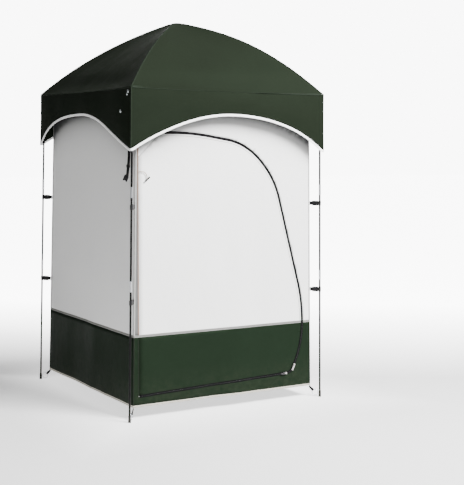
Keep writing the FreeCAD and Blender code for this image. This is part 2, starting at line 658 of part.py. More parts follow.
def make_hanging_strap():
    """A spare tie-down strap that hangs inside the front left valance tip, beside the leg."""
    low_x, high_x = -602.4, -601.1
    mid_y, half_width = -578.0, 7.5
    top_z, bottom_z = 1440.0, 1288.0
    webbing = box((low_x, mid_y - half_width, bottom_z), (high_x, mid_y + half_width, top_z))
    adjuster = box((low_x - 2.2, mid_y - 10.0, 1318.0), (high_x + 1.4, mid_y + 10.0, 1326.0))
    adjuster = adjuster.cut(box((low_x - 0.1, mid_y - 7.8, 1310.0), (high_x + 0.1, mid_y + 7.8, 1330.0)))
    buckle_body = box((low_x - 3.0, mid_y - 10.5, 1258.0), (high_x + 1.4, mid_y + 10.5, bottom_z))
    save("hanging_strap", webbing, adjuster, buckle_body)


make_frame()
make_canopy()
make_walls_and_door()
make_zip_hardware()
make_tie()
make_buckles()
make_corner_tabs()
make_hanging_strap()
print("nodes", len(os.listdir("parts")))
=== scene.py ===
"""The looks of a privacy shower tent: cloth, seams, zip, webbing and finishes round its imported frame.

Metres, +Z up. The door faces -Y. "Out" always means away from the tent's axis.
"""
import math

import bmesh
import bpy
from mathutils import Matrix, Vector, noise


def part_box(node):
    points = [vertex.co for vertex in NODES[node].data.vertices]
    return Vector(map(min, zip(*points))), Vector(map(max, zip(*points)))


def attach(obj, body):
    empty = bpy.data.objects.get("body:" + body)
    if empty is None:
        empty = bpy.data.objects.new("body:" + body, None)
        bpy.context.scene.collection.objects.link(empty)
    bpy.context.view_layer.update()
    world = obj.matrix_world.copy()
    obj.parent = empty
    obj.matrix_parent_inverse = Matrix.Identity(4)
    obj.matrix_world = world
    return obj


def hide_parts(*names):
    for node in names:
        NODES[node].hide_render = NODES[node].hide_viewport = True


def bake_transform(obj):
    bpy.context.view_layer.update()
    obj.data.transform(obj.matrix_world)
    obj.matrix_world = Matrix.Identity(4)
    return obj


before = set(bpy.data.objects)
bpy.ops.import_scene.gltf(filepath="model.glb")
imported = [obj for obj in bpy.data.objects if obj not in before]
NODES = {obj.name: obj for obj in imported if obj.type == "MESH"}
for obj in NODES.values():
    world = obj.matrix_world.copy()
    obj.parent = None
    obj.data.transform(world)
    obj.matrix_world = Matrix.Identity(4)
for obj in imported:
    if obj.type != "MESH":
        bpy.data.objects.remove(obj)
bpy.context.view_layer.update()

# ---------------------------------------------------------------- driving dimensions
CANOPY_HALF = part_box("valance_front")[1].x
EAVE_Z = 1.734
CROWN_Z = 2.145
ROOF_MID_Z = 1.992              # roof height halfway between the eave and the crown
VALANCE_TIP_Z = 1.408
VALANCE_CROWN_Z = 1.604
PIPING_HEIGHT = 0.013
PIPING_THICK = 0.004

WALL_BOTTOM_Z = 0.065
WALL_TOP_Z = 1.788
BAND_TOP_Z = 0.435
WALL_BOTTOM_HALF = 0.571
WALL_TOP_HALF = 0.545
WALL_LEAN = (WALL_BOTTOM_HALF - WALL_TOP_HALF) / (WALL_TOP_Z - WALL_BOTTOM_Z)
CLOTH_THICK = 0.0007
TAPE_TOP_Z = BAND_TOP_Z + 0.012     # top of the tape over the band
BINDING_TOP_Z = 1.725               # the corner bindings end behind the canopy

HINGE_X = -0.537
DOOR_RIGHT_X = 0.511
# The door's corners as (x, z, rounding), from the foot of its sewn edge round to the head.
DOOR_CORNERS = [
    (HINGE_X, 0.121, 0.0), (0.432, 0.1534, 0.045), (DOOR_RIGHT_X, 0.2967, 0.530),
    (DOOR_RIGHT_X, 0.560, 0.850), (0.314, 1.257, 0.480), (0.135, 1.454, 0.380), (-0.213, 1.506, 1.300),
    (-0.405, 1.506, 0.040), (HINGE_X, 1.376, 0.0),
]

CORNERS = ("fl", "fr", "bl", "br")
SIDES = {"front": 0.0, "right": 90.0, "back": 180.0, "left": 270.0}


# ---------------------------------------------------------------- node groups
class Wiring:
    """Short forms for adding and joining nodes in one tree."""

    def __init__(self, tree):
        self.tree = tree

    def join(self, source, target):
        self.tree.links.new(source, target)

    def feed(self, socket, value):
        """Link a socket to another socket, or give it a plain value."""
        if isinstance(value, bpy.types.NodeSocket):
            self.join(value, socket)
        else:
            socket.default_value = value

    def math(self, operation, *values):
        """One arithmetic step."""
        node = self.tree.nodes.new("ShaderNodeMath")
        node.operation = operation
        for socket, value in zip(node.inputs, values):
            self.feed(socket, value)
        return node.outputs[0]

    def noise(self, vector, scale, detail=2.0, roughness=0.5):
        node = self.tree.nodes.new("ShaderNodeTexNoise")
        self.feed(node.inputs["Vector"], vector)
        self.feed(node.inputs["Scale"], scale)
        node.inputs["Detail"].default_value = detail
        node.inputs["Roughness"].default_value = roughness
        return node.outputs[0]

    def split(self, vector):
        node = self.tree.nodes.new("ShaderNodeSeparateXYZ")
        self.join(vector, node.inputs[0])
        return node.outputs

    def times(self, first, second):
        return self.math("MULTIPLY", first, second)

    def plus(self, first, second):
        return self.math("ADD", first, second)

    def minus(self, first, second):
        return self.math("SUBTRACT", first, second)

    def wave(self, value, pitch):
        """A sine that repeats every pitch metres."""
        return self.math("SINE", self.times(value, 2.0 * math.pi / pitch))

    def along(self, vector, direction):
        """How far a vector reaches along a fixed direction."""
        node = self.tree.nodes.new("ShaderNodeVectorMath")
        node.operation = "DOT_PRODUCT"
        self.join(vector, node.inputs[0])
        node.inputs[1].default_value = direction
        return node.outputs["Value"]

    def spread(self, value, low, high, to_low=0.0, to_high=1.0):
        """Carry a value from one range over to another, held at its ends."""
        node = self.tree.nodes.new("ShaderNodeMapRange")
        self.feed(node.inputs["Value"], value)
        for label, number in (("From Min", low), ("From Max", high), ("To Min", to_low), ("To Max", to_high)):
            self.feed(node.inputs[label], number)
        return node.outputs[0]

    def blend(self, factor, first, second):
        """Mix two colours."""
        node = self.tree.nodes.new("ShaderNodeMix")
        node.data_type = "RGBA"
        self.feed(node.inputs[0], factor)
        self.feed(node.inputs[6], first)
        self.feed(node.inputs[7], second)
        return node.outputs[2]


def new_group(name, inputs, outputs):
    """An empty shader node group with a Vector input. Its other sockets are floats, unless named Colour."""
    tree = bpy.data.node_groups.new(name, "ShaderNodeTree")
    kinds = {"Vector": "NodeSocketVector", "Colour": "NodeSocketColor"}
    for way, labels in (("INPUT", ("Vector", *inputs)), ("OUTPUT", outputs)):
        for label in labels:
            kind = kinds.get(label, "NodeSocketFloat")
            tree.interface.new_socket(name=label, in_out=way, socket_type=kind)
    source = tree.nodes.new("NodeGroupInput").outputs
    target = tree.nodes.new("NodeGroupOutput").inputs
    return Wiring(tree), source, target


def tone_drift_group():
    """A colour that drifts a little lighter and darker over a surface, at two scales."""
    w, source, target = new_group("tone_drift", ("Colour", "Drift", "Scale"), ("Colour", "Mask"))
    wide = w.noise(source["Vector"], source["Scale"], 3.0, 0.55)
    fine_scale = w.times(source["Scale"], 22.0)
    fine = w.noise(source["Vector"], fine_scale, 2.0, 0.6)
    mask = w.plus(w.times(wide, 0.75), w.times(fine, 0.25))
    swing = w.times(w.minus(mask, 0.5), source["Drift"])
    gain = w.plus(w.times(swing, 2.0), 1.0)
    scale = w.tree.nodes.new("ShaderNodeVectorMath")
    scale.operation = "SCALE"
    w.join(source["Colour"], scale.inputs[0])
    w.join(gain, scale.inputs["Scale"])
    w.join(scale.outputs[0], target["Colour"])
    w.join(mask, target["Mask"])
    return w.tree


def weave_group():
    """Plain weave: threads over and under each other, with slubs, as a height and a thread mask."""
    w, source, target = new_group("plain_weave", ("Threads per metre", "Slub"), ("Height", "Mask"))
    x, y, _ = w.split(source["Vector"])
    turn = w.times(source["Threads per metre"], math.pi)
    warp = w.math("SINE", w.times(x, turn))
    weft = w.math("SINE", w.times(y, turn))
    crossing = w.times(warp, weft)
    slub = w.noise(source["Vector"], w.times(turn, 0.03), 2.0, 0.5)
    height = w.plus(w.times(crossing, 0.5), w.times(slub, source["Slub"]))
    w.join(height, target["Height"])
    w.join(w.spread(crossing, -1.0, 1.0), target["Mask"])
    return w.tree


def rumple_group():
    """Soft creases of handled cloth at hand and finger size, as one height in metres."""
    w, source, target = new_group("rumple", ("Depth", "Scale"), ("Height",))
    wide = w.noise(source["Vector"], source["Scale"], 2.0, 0.45)
    folded = w.noise(source["Vector"], w.times(source["Scale"], 2.7), 3.0, 0.5)
    fold = w.math("ABSOLUTE", w.minus(folded, 0.5))
    both = w.plus(wide, w.times(fold, -0.6))
    w.join(w.times(both, source["Depth"]), target["Height"])
    return w.tree


def stitch_group():
    """A row of machine stitches along U at one V, as a mask."""
    w, source, target = new_group("stitch_row", ("Pitch", "Row", "Width"), ("Mask",))
    x, y, _ = w.split(source["Vector"])
    step = w.math("FRACT", w.math("DIVIDE", x, source["Pitch"]))
    along = w.math("LESS_THAN", step, 0.68)
    off = w.math("ABSOLUTE", w.minus(y, source["Row"]))
    across = w.math("LESS_THAN", off, w.times(source["Width"], 0.5))
    w.join(w.times(along, across), target["Mask"])
    return w.tree


def ground_dust_group():
    """A dusty mask that fades out with height above the ground."""
    w, source, target = new_group("ground_dust", ("Reach", "Amount"), ("Mask",))
    _, _, z = w.split(source["Vector"])
    fade = w.minus(1.0, w.math("DIVIDE", z, source["Reach"]))
    fade = w.math("MAXIMUM", fade, 0.0)
    patch = w.spread(w.noise(source["Vector"], 38.0, 4.0, 0.65), 0.35, 0.7)
    amount = w.times(w.times(fade, patch), source["Amount"])
    w.join(w.math("MINIMUM", amount, 1.0), target["Mask"])
    return w.tree


def scuff_group():
    """Fine moulded grain with light rub marks, as a height and a mask."""
    w, source, target = new_group("grain_and_rub", ("Grain", "Rub"), ("Height", "Mask"))
    grain = w.noise(source["Vector"], source["Grain"], 2.0, 0.6)
    rub = w.spread(w.noise(source["Vector"], source["Rub"], 4.0, 0.7), 0.55, 0.75)
    w.join(grain, target["Height"])
    w.join(rub, target["Mask"])
    return w.tree


TONE = tone_drift_group()
WEAVE = weave_group()
RUMPLE = rumple_group()
STITCH = stitch_group()
DUST = ground_dust_group()
SCUFF = scuff_group()


# ---------------------------------------------------------------- materials
def srgb(red, green, blue):
    """A display colour from 0 to 255 as linear values."""
    def linear(channel):
        c = channel / 255.0
        return c / 12.92 if c <= 0.04045 else ((c + 0.055) / 1.055) ** 2.4
    return (linear(red), linear(green), linear(blue), 1.0)


class Finish:
    """One material with its Principled shader, ready for its pattern nodes."""

    def __init__(self, name, roughness, **shader):
        self.material = bpy.data.materials.new(name)
        self.material.use_nodes = True
        self.tree = self.material.node_tree
        self.wiring = Wiring(self.tree)
        self.shader = self.tree.nodes["Principled BSDF"]
        self.shader.inputs["Roughness"].default_value = roughness
        for label, value in shader.items():
            self.shader.inputs[label.replace("_", " ")].default_value = value

    def coordinates(self, kind):
        """Object coordinates, or the piece's own flat cloth map in metres."""
        if kind == "cloth":
            node = self.tree.nodes.new("ShaderNodeUVMap")
            node.uv_map = "cloth"
            return node.outputs["UV"]
        return self.tree.nodes.new("ShaderNodeTexCoord").outputs["Object"]

    def group(self, tree, **values):
        """Place a shared group; words joined by _ name its sockets."""
        node = self.tree.nodes.new("ShaderNodeGroup")
        node.node_tree = tree
        for label, value in values.items():
            self.wiring.feed(node.inputs[label.replace("_", " ")], value)
        return node.outputs

    def colour(self, value):
        self.wiring.feed(self.shader.inputs["Base Color"], value)

    def bump(self, height, distance, strength=1.0, under=None):
        """A bump from one height, over an earlier one."""
        node = self.tree.nodes.new("ShaderNodeBump")
        node.inputs["Strength"].default_value = strength
        node.inputs["Distance"].default_value = distance
        self.wiring.join(height, node.inputs["Height"])
        if under is not None:
            self.wiring.join(under, node.inputs["Normal"])
        self.wiring.join(node.outputs[0], self.shader.inputs["Normal"])
        return node.outputs[0]


def cloth_finish(name, tone, roughness, drift, threads, rumple_depth, sheen, dusty=0.0, gloss=0.35,
                 gloss_tone=(1.0, 1.0, 1.0, 1.0), painted_canopy_shade=False):
    """Coated tent cloth: drifting tone, plain weave and soft rumples."""
    finish = Finish(name, roughness, Sheen_Weight=sheen, Sheen_Roughness=0.55, Specular_IOR_Level=gloss,
                    Specular_Tint=gloss_tone)
    w = finish.wiring
    flat = finish.coordinates("cloth")
    place = finish.coordinates("object")
    drifted = finish.group(TONE, Vector=place, Colour=tone, Drift=drift, Scale=2.6)
    weave = finish.group(WEAVE, Vector=flat, Threads_per_metre=threads, Slub=0.5)
    thread_tone = w.spread(weave["Mask"], 0.0, 1.0, 0.0, 0.10)
    darker = tuple(channel * 0.72 for channel in tone[:3]) + (1.0,)
    colour = w.blend(thread_tone, drifted["Colour"], darker)
    if dusty > 0.0:
        dust = finish.group(DUST, Vector=place, Reach=0.26, Amount=dusty)
        colour = w.blend(dust["Mask"], colour, srgb(150, 142, 122))
    # painted shade: darkens the pale wall cloth just under the valance, standing in for the canopy's shadow
    if painted_canopy_shade:
        behind = finish.tree.nodes.new("ShaderNodeAttribute")
        behind.attribute_name = "painted_shade_under_canopy"
        colour = w.blend(behind.outputs["Fac"], colour, srgb(34, 34, 36))
    finish.colour(colour)
    rumple = finish.group(RUMPLE, Vector=place, Depth=1.0, Scale=5.0)
    soft = finish.bump(rumple["Height"], rumple_depth)
    finish.bump(weave["Height"], 0.00012, 0.6, under=soft)
    rough = w.spread(drifted["Mask"], 0.2, 0.8, roughness - 0.07, roughness + 0.07)
    w.join(rough, finish.shader.inputs["Roughness"])
    return finish.material


def tape_finish(name, tone, thread, rows, roughness=0.75, threads=900.0, pitch=0.0035, width=0.0011,
                gloss=0.2, sheen=0.1):
    """Narrow woven tape or binding with stitch rows at the given distances across it."""
    finish = Finish(name, roughness, Sheen_Weight=sheen, Sheen_Roughness=0.5, Specular_IOR_Level=gloss)
    w = finish.wiring
    flat = finish.coordinates("cloth")
    place = finish.coordinates("object")
    drifted = finish.group(TONE, Vector=place, Colour=tone, Drift=0.12, Scale=9.0)
    weave = finish.group(WEAVE, Vector=flat, Threads_per_metre=threads, Slub=0.3)
    colour = drifted["Colour"]
    normal = finish.bump(weave["Height"], 0.0003, 0.7)
    for row in rows:
        stitch = finish.group(STITCH, Vector=flat, Pitch=pitch, Row=row, Width=width)
        colour = w.blend(stitch["Mask"], colour, thread)
        normal = finish.bump(stitch["Mask"], 0.0004, 0.8, under=normal)
    finish.colour(colour)
    return finish.material


def moulded_finish(name, tone, roughness, grain=900.0, wear=0.25, coat=0.0, dusty=0.0):
    """Moulded plastic or rubber with fine grain, pale rub marks and dust near the ground."""
    finish = Finish(name, roughness, Coat_Weight=coat, Coat_Roughness=0.25, Specular_IOR_Level=0.25)
    w = finish.wiring
    place = finish.coordinates("object")
    scuff = finish.group(SCUFF, Vector=place, Grain=grain, Rub=70.0)
    drifted = finish.group(TONE, Vector=place, Colour=tone, Drift=0.15, Scale=14.0)
    rub = w.times(scuff["Mask"], wear)
    colour = w.blend(rub, drifted["Colour"], srgb(96, 96, 94))
    if dusty > 0.0:
        dust = finish.group(DUST, Vector=place, Reach=0.06, Amount=dusty)
        colour = w.blend(dust["Mask"], colour, srgb(140, 132, 114))
    finish.colour(colour)
    finish.bump(scuff["Height"], 0.00015, 0.5)
    rough = w.spread(scuff["Mask"], 0.0, 1.0, roughness, min(roughness + 0.2, 1.0))
    w.join(rough, finish.shader.inputs["Roughness"])
    return finish.material


def metal_finish(name, tone, roughness):
    """Plated or drawn metal with faint clouding and fine scratches."""
    finish = Finish(name, roughness, Metallic=1.0)
    w = finish.wiring
    place = finish.coordinates("object")
    drifted = finish.group(TONE, Vector=place, Colour=tone, Drift=0.1, Scale=30.0)
    scuff = finish.group(SCUFF, Vector=place, Grain=240.0, Rub=120.0)
    finish.colour(drifted["Colour"])
    rough = w.spread(scuff["Mask"], 0.0, 1.0, roughness, roughness + 0.18)
    w.join(rough, finish.shader.inputs["Roughness"])
    finish.bump(scuff["Height"], 0.00008, 0.35)
    return finish.material


def pole_finish():
    """Pultruded glass-fibre tube: black, a little glossy, with long faint fibre streaks."""
    finish = Finish("black_glassfibre", 0.34, Specular_IOR_Level=0.10)
    w = finish.wiring
    place = finish.coordinates("object")
    stretch = finish.tree.nodes.new("ShaderNodeMapping")
    stretch.inputs["Scale"].default_value = (420.0, 420.0, 6.0)
    w.join(place, stretch.inputs["Vector"])
    streak = w.noise(stretch.outputs[0], 1.0, 3.0, 0.6)
    drifted = finish.group(TONE, Vector=place, Colour=srgb(10, 10, 11), Drift=0.2, Scale=11.0)
    scuff = finish.group(SCUFF, Vector=place, Grain=700.0, Rub=45.0)
    pale = w.times(scuff["Mask"], 0.12)
    dust = finish.group(DUST, Vector=place, Reach=0.18, Amount=0.04)
    worn = w.blend(pale, drifted["Colour"], srgb(70, 70, 72))
    finish.colour(w.blend(dust["Mask"], worn, srgb(140, 132, 114)))
    rough = w.spread(streak, 0.2, 0.8, 0.26, 0.46)
    w.join(rough, finish.shader.inputs["Roughness"])
    finish.bump(streak, 0.0001, 0.5)
    return finish.material


GREEN_CLOTH = cloth_finish("canopy_green_cloth", srgb(22, 27, 20), 0.48, 0.14, 1500.0, 0.0025, 0.0,
                           gloss=0.02, gloss_tone=srgb(208, 240, 200))
BAND_CLOTH = cloth_finish("band_green_cloth", srgb(20, 29, 20), 0.52, 0.16, 1500.0, 0.003, 0.0, dusty=0.03,
                          gloss=0.03, gloss_tone=srgb(204, 244, 206))
# the pale wall cloth carries painted shade under the valance
PALE_CLOTH = cloth_finish("pale_wall_cloth", srgb(231, 231, 230), 0.6, 0.035, 1500.0, 0.004, 0.0, painted_canopy_shade=True)
GREEN_SEAM = tape_finish("green_seam", srgb(23, 29, 22), srgb(36, 44, 34), (-0.0032, 0.0032), 0.6,
                         gloss=0.04, sheen=0.0)
WHITE_PIPING = tape_finish("white_piping", srgb(250, 250, 249), srgb(226, 226, 222), (0.0045,), 0.62)
GREY_TAPE = tape_finish("grey_seam_tape", srgb(108, 108, 105), srgb(134, 134, 131), (-0.004, 0.004))
HEM_TAPE = tape_finish("beige_hem_tape", srgb(172, 168, 157), srgb(140, 136, 127), (-0.0026, 0.0026))
# a real corner binding, its grey darkened in part as painted shade of the wall corners
CORNER_BINDING_AND_SHADE = tape_finish("corner_tape_and_painted_shade", srgb(150, 150, 148), srgb(128, 128, 126), (-0.0035, 0.0035))
# painted shade: a grey strip standing in for the shade on the front wall beside its left corner
CORNER_SHADE_PAINT = tape_finish("painted_corner_shade", srgb(92, 92, 91), srgb(112, 112, 110), (-0.009, 0.009), 0.7)
EDGE_TAPE = tape_finish("mauve_edge_tape", srgb(122, 98, 84), srgb(98, 78, 67), (0.0,), 0.75)
ZIP_TAPE = tape_finish("black_zip_tape", srgb(13, 13, 14), srgb(30, 30, 31), (0.0022,), 0.85,
                       gloss=0.04, sheen=0.0)
ZIP_THREAD = tape_finish("grey_topstitch", srgb(150, 150, 148), srgb(96, 96, 94), (0.0,), 0.8, pitch=0.006)
BLACK_WEBBING = tape_finish("black_webbing", srgb(17, 17, 18), srgb(34, 34, 35), (-0.0055, 0.0055), 0.8,
                            700.0, gloss=0.08, sheen=0.0)
BLACK_POLE = pole_finish()
FERRULE_METAL = metal_finish("drawn_ferrule", srgb(214, 216, 220), 0.3)
RING_METAL = metal_finish("plated_ring", srgb(190, 198, 208), 0.24)
STUD_METAL = metal_finish("plated_stud", srgb(206, 214, 214), 0.22)
SLIDER_METAL = metal_finish("plated_slider", srgb(196, 192, 190), 0.28)
BOOT_RUBBER = moulded_finish("boot_rubber", srgb(14, 14, 15), 0.72, 500.0, 0.1, 0.0, dusty=0.15)
BLACK_FITTING = moulded_finish("moulded_fitting", srgb(18, 18, 19), 0.46)
BUCKLE_PLASTIC = moulded_finish("buckle_plastic", srgb(12, 12, 14), 0.40, 1100.0, 0.10)
TOGGLE_PLASTIC = moulded_finish("toggle_plastic", srgb(9, 9, 10), 0.42, 1100.0, 0.05)
PULL_PLASTIC = moulded_finish("dark_pull", srgb(46, 45, 47), 0.4, 800.0, 0.4, 0.1)
COIL_PLASTIC = moulded_finish("zip_coil", srgb(10, 10, 11), 0.42, 1500.0, 0.05)


def elastic_finish():
    """Beige braided elastic: diagonal ribs round the cord."""
    finish = Finish("beige_elastic", 0.8, Sheen_Weight=0.3, Specular_IOR_Level=0.3)
    w = finish.wiring
    place = finish.coordinates("object")
    x, _, z = w.split(place)
    rib = w.wave(w.plus(x, z), 0.0016)
    braid = w.times(rib, w.wave(w.minus(x, z), 0.0016))
    drifted = finish.group(TONE, Vector=place, Colour=srgb(128, 98, 66), Drift=0.12, Scale=30.0)
    shade = w.spread(braid, -1.0, 1.0, 0.25, 0.0)
    finish.colour(w.blend(shade, drifted["Colour"], srgb(92, 68, 44)))
    finish.bump(braid, 0.0003, 0.7)
    return finish.material


def webbing_solid_finish():
    """Ribbed black webbing for solid straps, which have no cloth map of their own."""
    finish = Finish("solid_webbing", 0.8, Sheen_Weight=0.03, Specular_IOR_Level=0.1)
    w = finish.wiring
    place = finish.coordinates("object")
    x, y, z = w.split(place)
    rib = w.wave(w.plus(x, w.times(y, 0.35)), 0.0022)
    knit = w.times(rib, w.wave(z, 0.0018))
    drifted = finish.group(TONE, Vector=place, Colour=srgb(18, 18, 19), Drift=0.2, Scale=24.0)
    shade = w.spread(knit, -1.0, 1.0, 0.0, 0.3)
    finish.colour(w.blend(shade, drifted["Colour"], srgb(44, 45, 44)))
    finish.bump(knit, 0.0004, 0.7)
    return finish.material


def cord_solid_finish():
    """Braided black sheath of the elastic cords inside the poles."""
    finish = Finish("braided_cord", 0.8, Specular_IOR_Level=0.3)
    place = finish.coordinates("object")
    _, _, z = finish.wiring.split(place)
    drifted = finish.group(TONE, Vector=place, Colour=srgb(40, 40, 42), Drift=0.2, Scale=30.0)
    finish.colour(drifted["Colour"])
    finish.bump(finish.wiring.wave(z, 0.0016), 0.0002, 0.6)
    return finish.material


ELASTIC = elastic_finish()
SOLID_WEBBING = webbing_solid_finish()


def dress(material, *names):
    """Give CAD nodes one finish in all their slots."""
    for name in names:
        data = NODES[name].data
        if not data.materials:
            data.materials.append(material)
        for index in range(len(data.materials)):
            data.materials[index] = material


dress(BLACK_POLE, *[f"leg_{c}" for c in CORNERS], *[f"roof_pole_{c}" for c in CORNERS])
dress(FERRULE_METAL, "pole_ferrules")
dress(BOOT_RUBBER, "foot_boots")
dress(cord_solid_finish(), "shock_cords")
dress(BLACK_FITTING, "corner_elbows", "roof_hub", "pole_loops")
dress(SOLID_WEBBING, "canopy_ties", "wall_straps", "corner_tabs")
dress(BUCKLE_PLASTIC, "buckle_sockets")
dress(BUCKLE_PLASTIC, *[f"buckle_plug_{c}_{level}" for c in CORNERS for level in ("upper", "lower")])
dress(RING_METAL, *[f"corner_ring_{c}" for c in CORNERS])
dress(SLIDER_METAL, "slider_side", "slider_bottom", "pull_side")
dress(PULL_PLASTIC, "pull_bottom")
dress(TOGGLE_PLASTIC, "tie_toggle")


# ---------------------------------------------------------------- making pieces
MIDDLE = Vector((0.0, 0.0, 1.0))    # every sheet faces away from here


def face_out(bm):
    """Turn each face of an open sheet away from the tent's middle."""
    bm.normal_update()
    turned = [face for face in bm.faces if face.normal.dot(face.calc_center_median() - MIDDLE) < 0.0]
    bmesh.ops.reverse_faces(bm, faces=turned)


def add_object(name, data):
    """Put mesh, curve, lamp or camera data into the scene."""
    thing = bpy.data.objects.new(name, data)
    bpy.context.scene.collection.objects.link(thing)
    return thing


def mesh_object(name, bm):
    """Turn a bmesh into an object, and free the bmesh."""
    mesh = bpy.data.meshes.new(name)
    bm.to_mesh(mesh)
    bm.free()
    return add_object(name, mesh)


def add_piece(name, bm, material, body, slot, replaced=(), thick=0.0):
    """Make a piece from a bmesh, give it its finish and body, and let it stand for its CAD nodes."""
    bm.normal_update()
    piece = mesh_object(name, bm)
    piece.data.materials.append(material)
    piece.data.shade_smooth()
    if thick > 0.0:
        wall = piece.modifiers.new("cloth thickness", "SOLIDIFY")
        wall.thickness = thick
        wall.offset = -1.0
    if body is not None:
        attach(piece, body)
    if replaced:
        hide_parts(*replaced)
    return piece


def new_cloth():
    """An empty bmesh with a cloth map."""
    bm = bmesh.new()
    bm.loops.layers.uv.new("cloth")
    return bm


def cloth_grid(bm, columns, rows, place, flat):
    """Add a grid with its points at place(u, v), u and v from 0 to 1. flat is its size on the cloth map."""
    layer = bm.loops.layers.uv.active
    made = bmesh.ops.create_grid(bm, x_segments=columns, y_segments=rows, size=0.5)["verts"]
    spots = {vert: (vert.co.x + 0.5, vert.co.y + 0.5) for vert in made}
    for face in {face for vert in made for face in vert.link_faces}:
        for loop in face.loops:
            u, v = spots[loop.vert]
            loop[layer].uv = ((u - 0.5) * flat[0], (v - 0.5) * flat[1])
    for vert, (u, v) in spots.items():
        vert.co = place(u, v)


def weld(bm, distance=0.00005):
    bmesh.ops.remove_doubles(bm, verts=bm.verts[:], dist=distance)


def rounded_box(bm, centre, size, round_off, turn):
    """A box with bevelled edges, turned about its own middle by a 3x3 matrix."""
    made = bmesh.ops.create_cube(bm, size=1.0)["verts"]
    bmesh.ops.scale(bm, vec=size, verts=made)
    edges = list({edge for vert in made for edge in vert.link_edges})
    result = bmesh.ops.bevel(bm, geom=edges, offset=round_off, offset_type="OFFSET", segments=2, profile=0.5,
                             affect="EDGES", material=-1)
    verts = list({vert for face in result["faces"] for vert in face.verts} | {v for v in made if v.is_valid})
    bmesh.ops.rotate(bm, verts=verts, cent=(0, 0, 0), matrix=turn)
    bmesh.ops.translate(bm, vec=centre, verts=verts)


def turned_part(bm, profile, place, steps=24):
    """Spin a profile of (radius, height) about +Z and put the result at place, a 4x4 matrix."""
    verts = [bm.verts.new((radius, 0.0, height)) for radius, height in profile]
    edges = [bm.edges.new(pair) for pair in zip(verts, verts[1:])]
    before = set(bm.verts) - set(verts)
    bmesh.ops.spin(bm, geom=verts + edges, cent=(0, 0, 0), axis=(0, 0, 1), angle=2 * math.pi, steps=steps,
                   use_merge=True, use_duplicate=False)
    made = [vert for vert in bm.verts if vert not in before]
    bmesh.ops.remove_doubles(bm, verts=made, dist=0.00002)
    made = [vert for vert in bm.verts if vert not in before]
    faces = list({face for vert in made for face in vert.link_faces})
    bmesh.ops.recalc_face_normals(bm, faces=faces)
    bmesh.ops.transform(bm, matrix=place, verts=made)


def smooth_step(value):
    value = max(0.0, min(1.0, value))
    return value * value * (3.0 - 2.0 * value)


# ---------------------------------------------------------------- canopy shape
def arc_through(first, middle, last):
    """Centre and radius of the circle through three (run, height) points."""
    (x1, y1), (x2, y2), (x3, y3) = first, middle, last
    d = 2.0 * (x1 * (y2 - y3) + x2 * (y3 - y1) + x3 * (y1 - y2))
    s1, s2, s3 = x1 * x1 + y1 * y1, x2 * x2 + y2 * y2, x3 * x3 + y3 * y3
    centre_x = (s1 * (y2 - y3) + s2 * (y3 - y1) + s3 * (y1 - y2)) / d
    centre_y = (s1 * (x3 - x2) + s2 * (x1 - x3) + s3 * (x2 - x1)) / d
    return centre_x, centre_y, math.hypot(x1 - centre_x, y1 - centre_y)


ROOF_ARC = arc_through((-CANOPY_HALF, EAVE_Z), (-CANOPY_HALF / 2, ROOF_MID_Z), (0.0, CROWN_Z))
VALANCE_RISE = VALANCE_CROWN_Z - VALANCE_TIP_Z
VALANCE_R = (CANOPY_HALF ** 2 + VALANCE_RISE ** 2) / (2.0 * VALANCE_RISE)
TURNS = {side: Matrix.Rotation(math.radians(angle), 3, "Z") for side, angle in SIDES.items()}
SIDE_ORDER = list(SIDES)
ARCH_SKEW = {"front": 0.008, "right": -0.006, "back": 0.005, "left": -0.030}
BACK_LEFT_LIFT = 0.022          # the back left tip is drawn up a little
CROWN_ROUND = 0.020
CROWN_LEAN = Vector((-0.012, 0.007, 0.0))   # the cloth sits this far off the middle at the crown
CROWN_LIFT = 0.006              # the hub pushes the crown up by this much
FRONT_RIGHT_BOW = 0.026         # the front right pole bows higher than the others
EAVE_SAG = 0.006
PANEL_SAG = 0.014
EAVE_HOLLOW = 0.013


def roof_height(half):
    """Height of the taut roof over a point this far from the centre plane, rounded at the crown."""
    centre_y, centre_z, radius = ROOF_ARC
    if half >= CROWN_ROUND:
        return centre_z + math.sqrt(radius ** 2 - (-half - centre_y) ** 2)
    rim = centre_z + math.sqrt(radius ** 2 - (-CROWN_ROUND - centre_y) ** 2)
    slope = (-CROWN_ROUND - centre_y) / (rim - centre_z)
    return rim + slope * (half ** 2 - CROWN_ROUND ** 2) / (2.0 * CROWN_ROUND)


def edge_height(side, s):
    """Height of the valance's lower edge, with s from -1 to 1 along the side."""
    x = s * CANOPY_HALF
    tip_round = 0.020
    centre_z = VALANCE_CROWN_Z - VALANCE_R
    reach = CANOPY_HALF - tip_round
    z = centre_z + math.sqrt(VALANCE_R ** 2 - min(abs(x), reach) ** 2)
    over = abs(x) - reach
    if over > 0.0:
        slope = reach / math.sqrt(VALANCE_R ** 2 - reach ** 2)
        z -= slope * (over - over * over / (2.0 * tip_round))
    bent = math.copysign(abs(s) ** 1.8, s)
    z += ARCH_SKEW[side] * math.sin(math.pi * bent)
    spot = TURNS[side] @ Vector((x, -CANOPY_HALF, 0.0))
    away = math.hypot(spot.x + CANOPY_HALF, spot.y - CANOPY_HALF)
    return z + BACK_LEFT_LIFT * max(0.0, 1.0 - away / 0.35) ** 2


def eave_height(s):
    return EAVE_Z - EAVE_SAG * (1.0 - s * s)


def valance_point(side, s, w, lift=0.0):
    """A point of the valance: s along the side, w from 0 at its lower edge to 1 at the eave."""
    low, high = edge_height(side, s), eave_height(s)
    z = low + (high - low) * w
    free = 1.0 - s ** 8
    spot = TURNS[side] @ Vector((s * CANOPY_HALF, -CANOPY_HALF, z))
    ripple = noise.noise(spot * 3.1) * 0.008 + noise.noise(spot * 9.0) * 0.0022
    belly = 0.004 * math.sin(math.pi * w)
    flare = 0.004 * (1.0 - w) ** 2
    out = CANOPY_HALF - 0.0005 + lift + flare + (ripple + belly) * free
    return TURNS[side] @ Vector((s * out, -out, z))


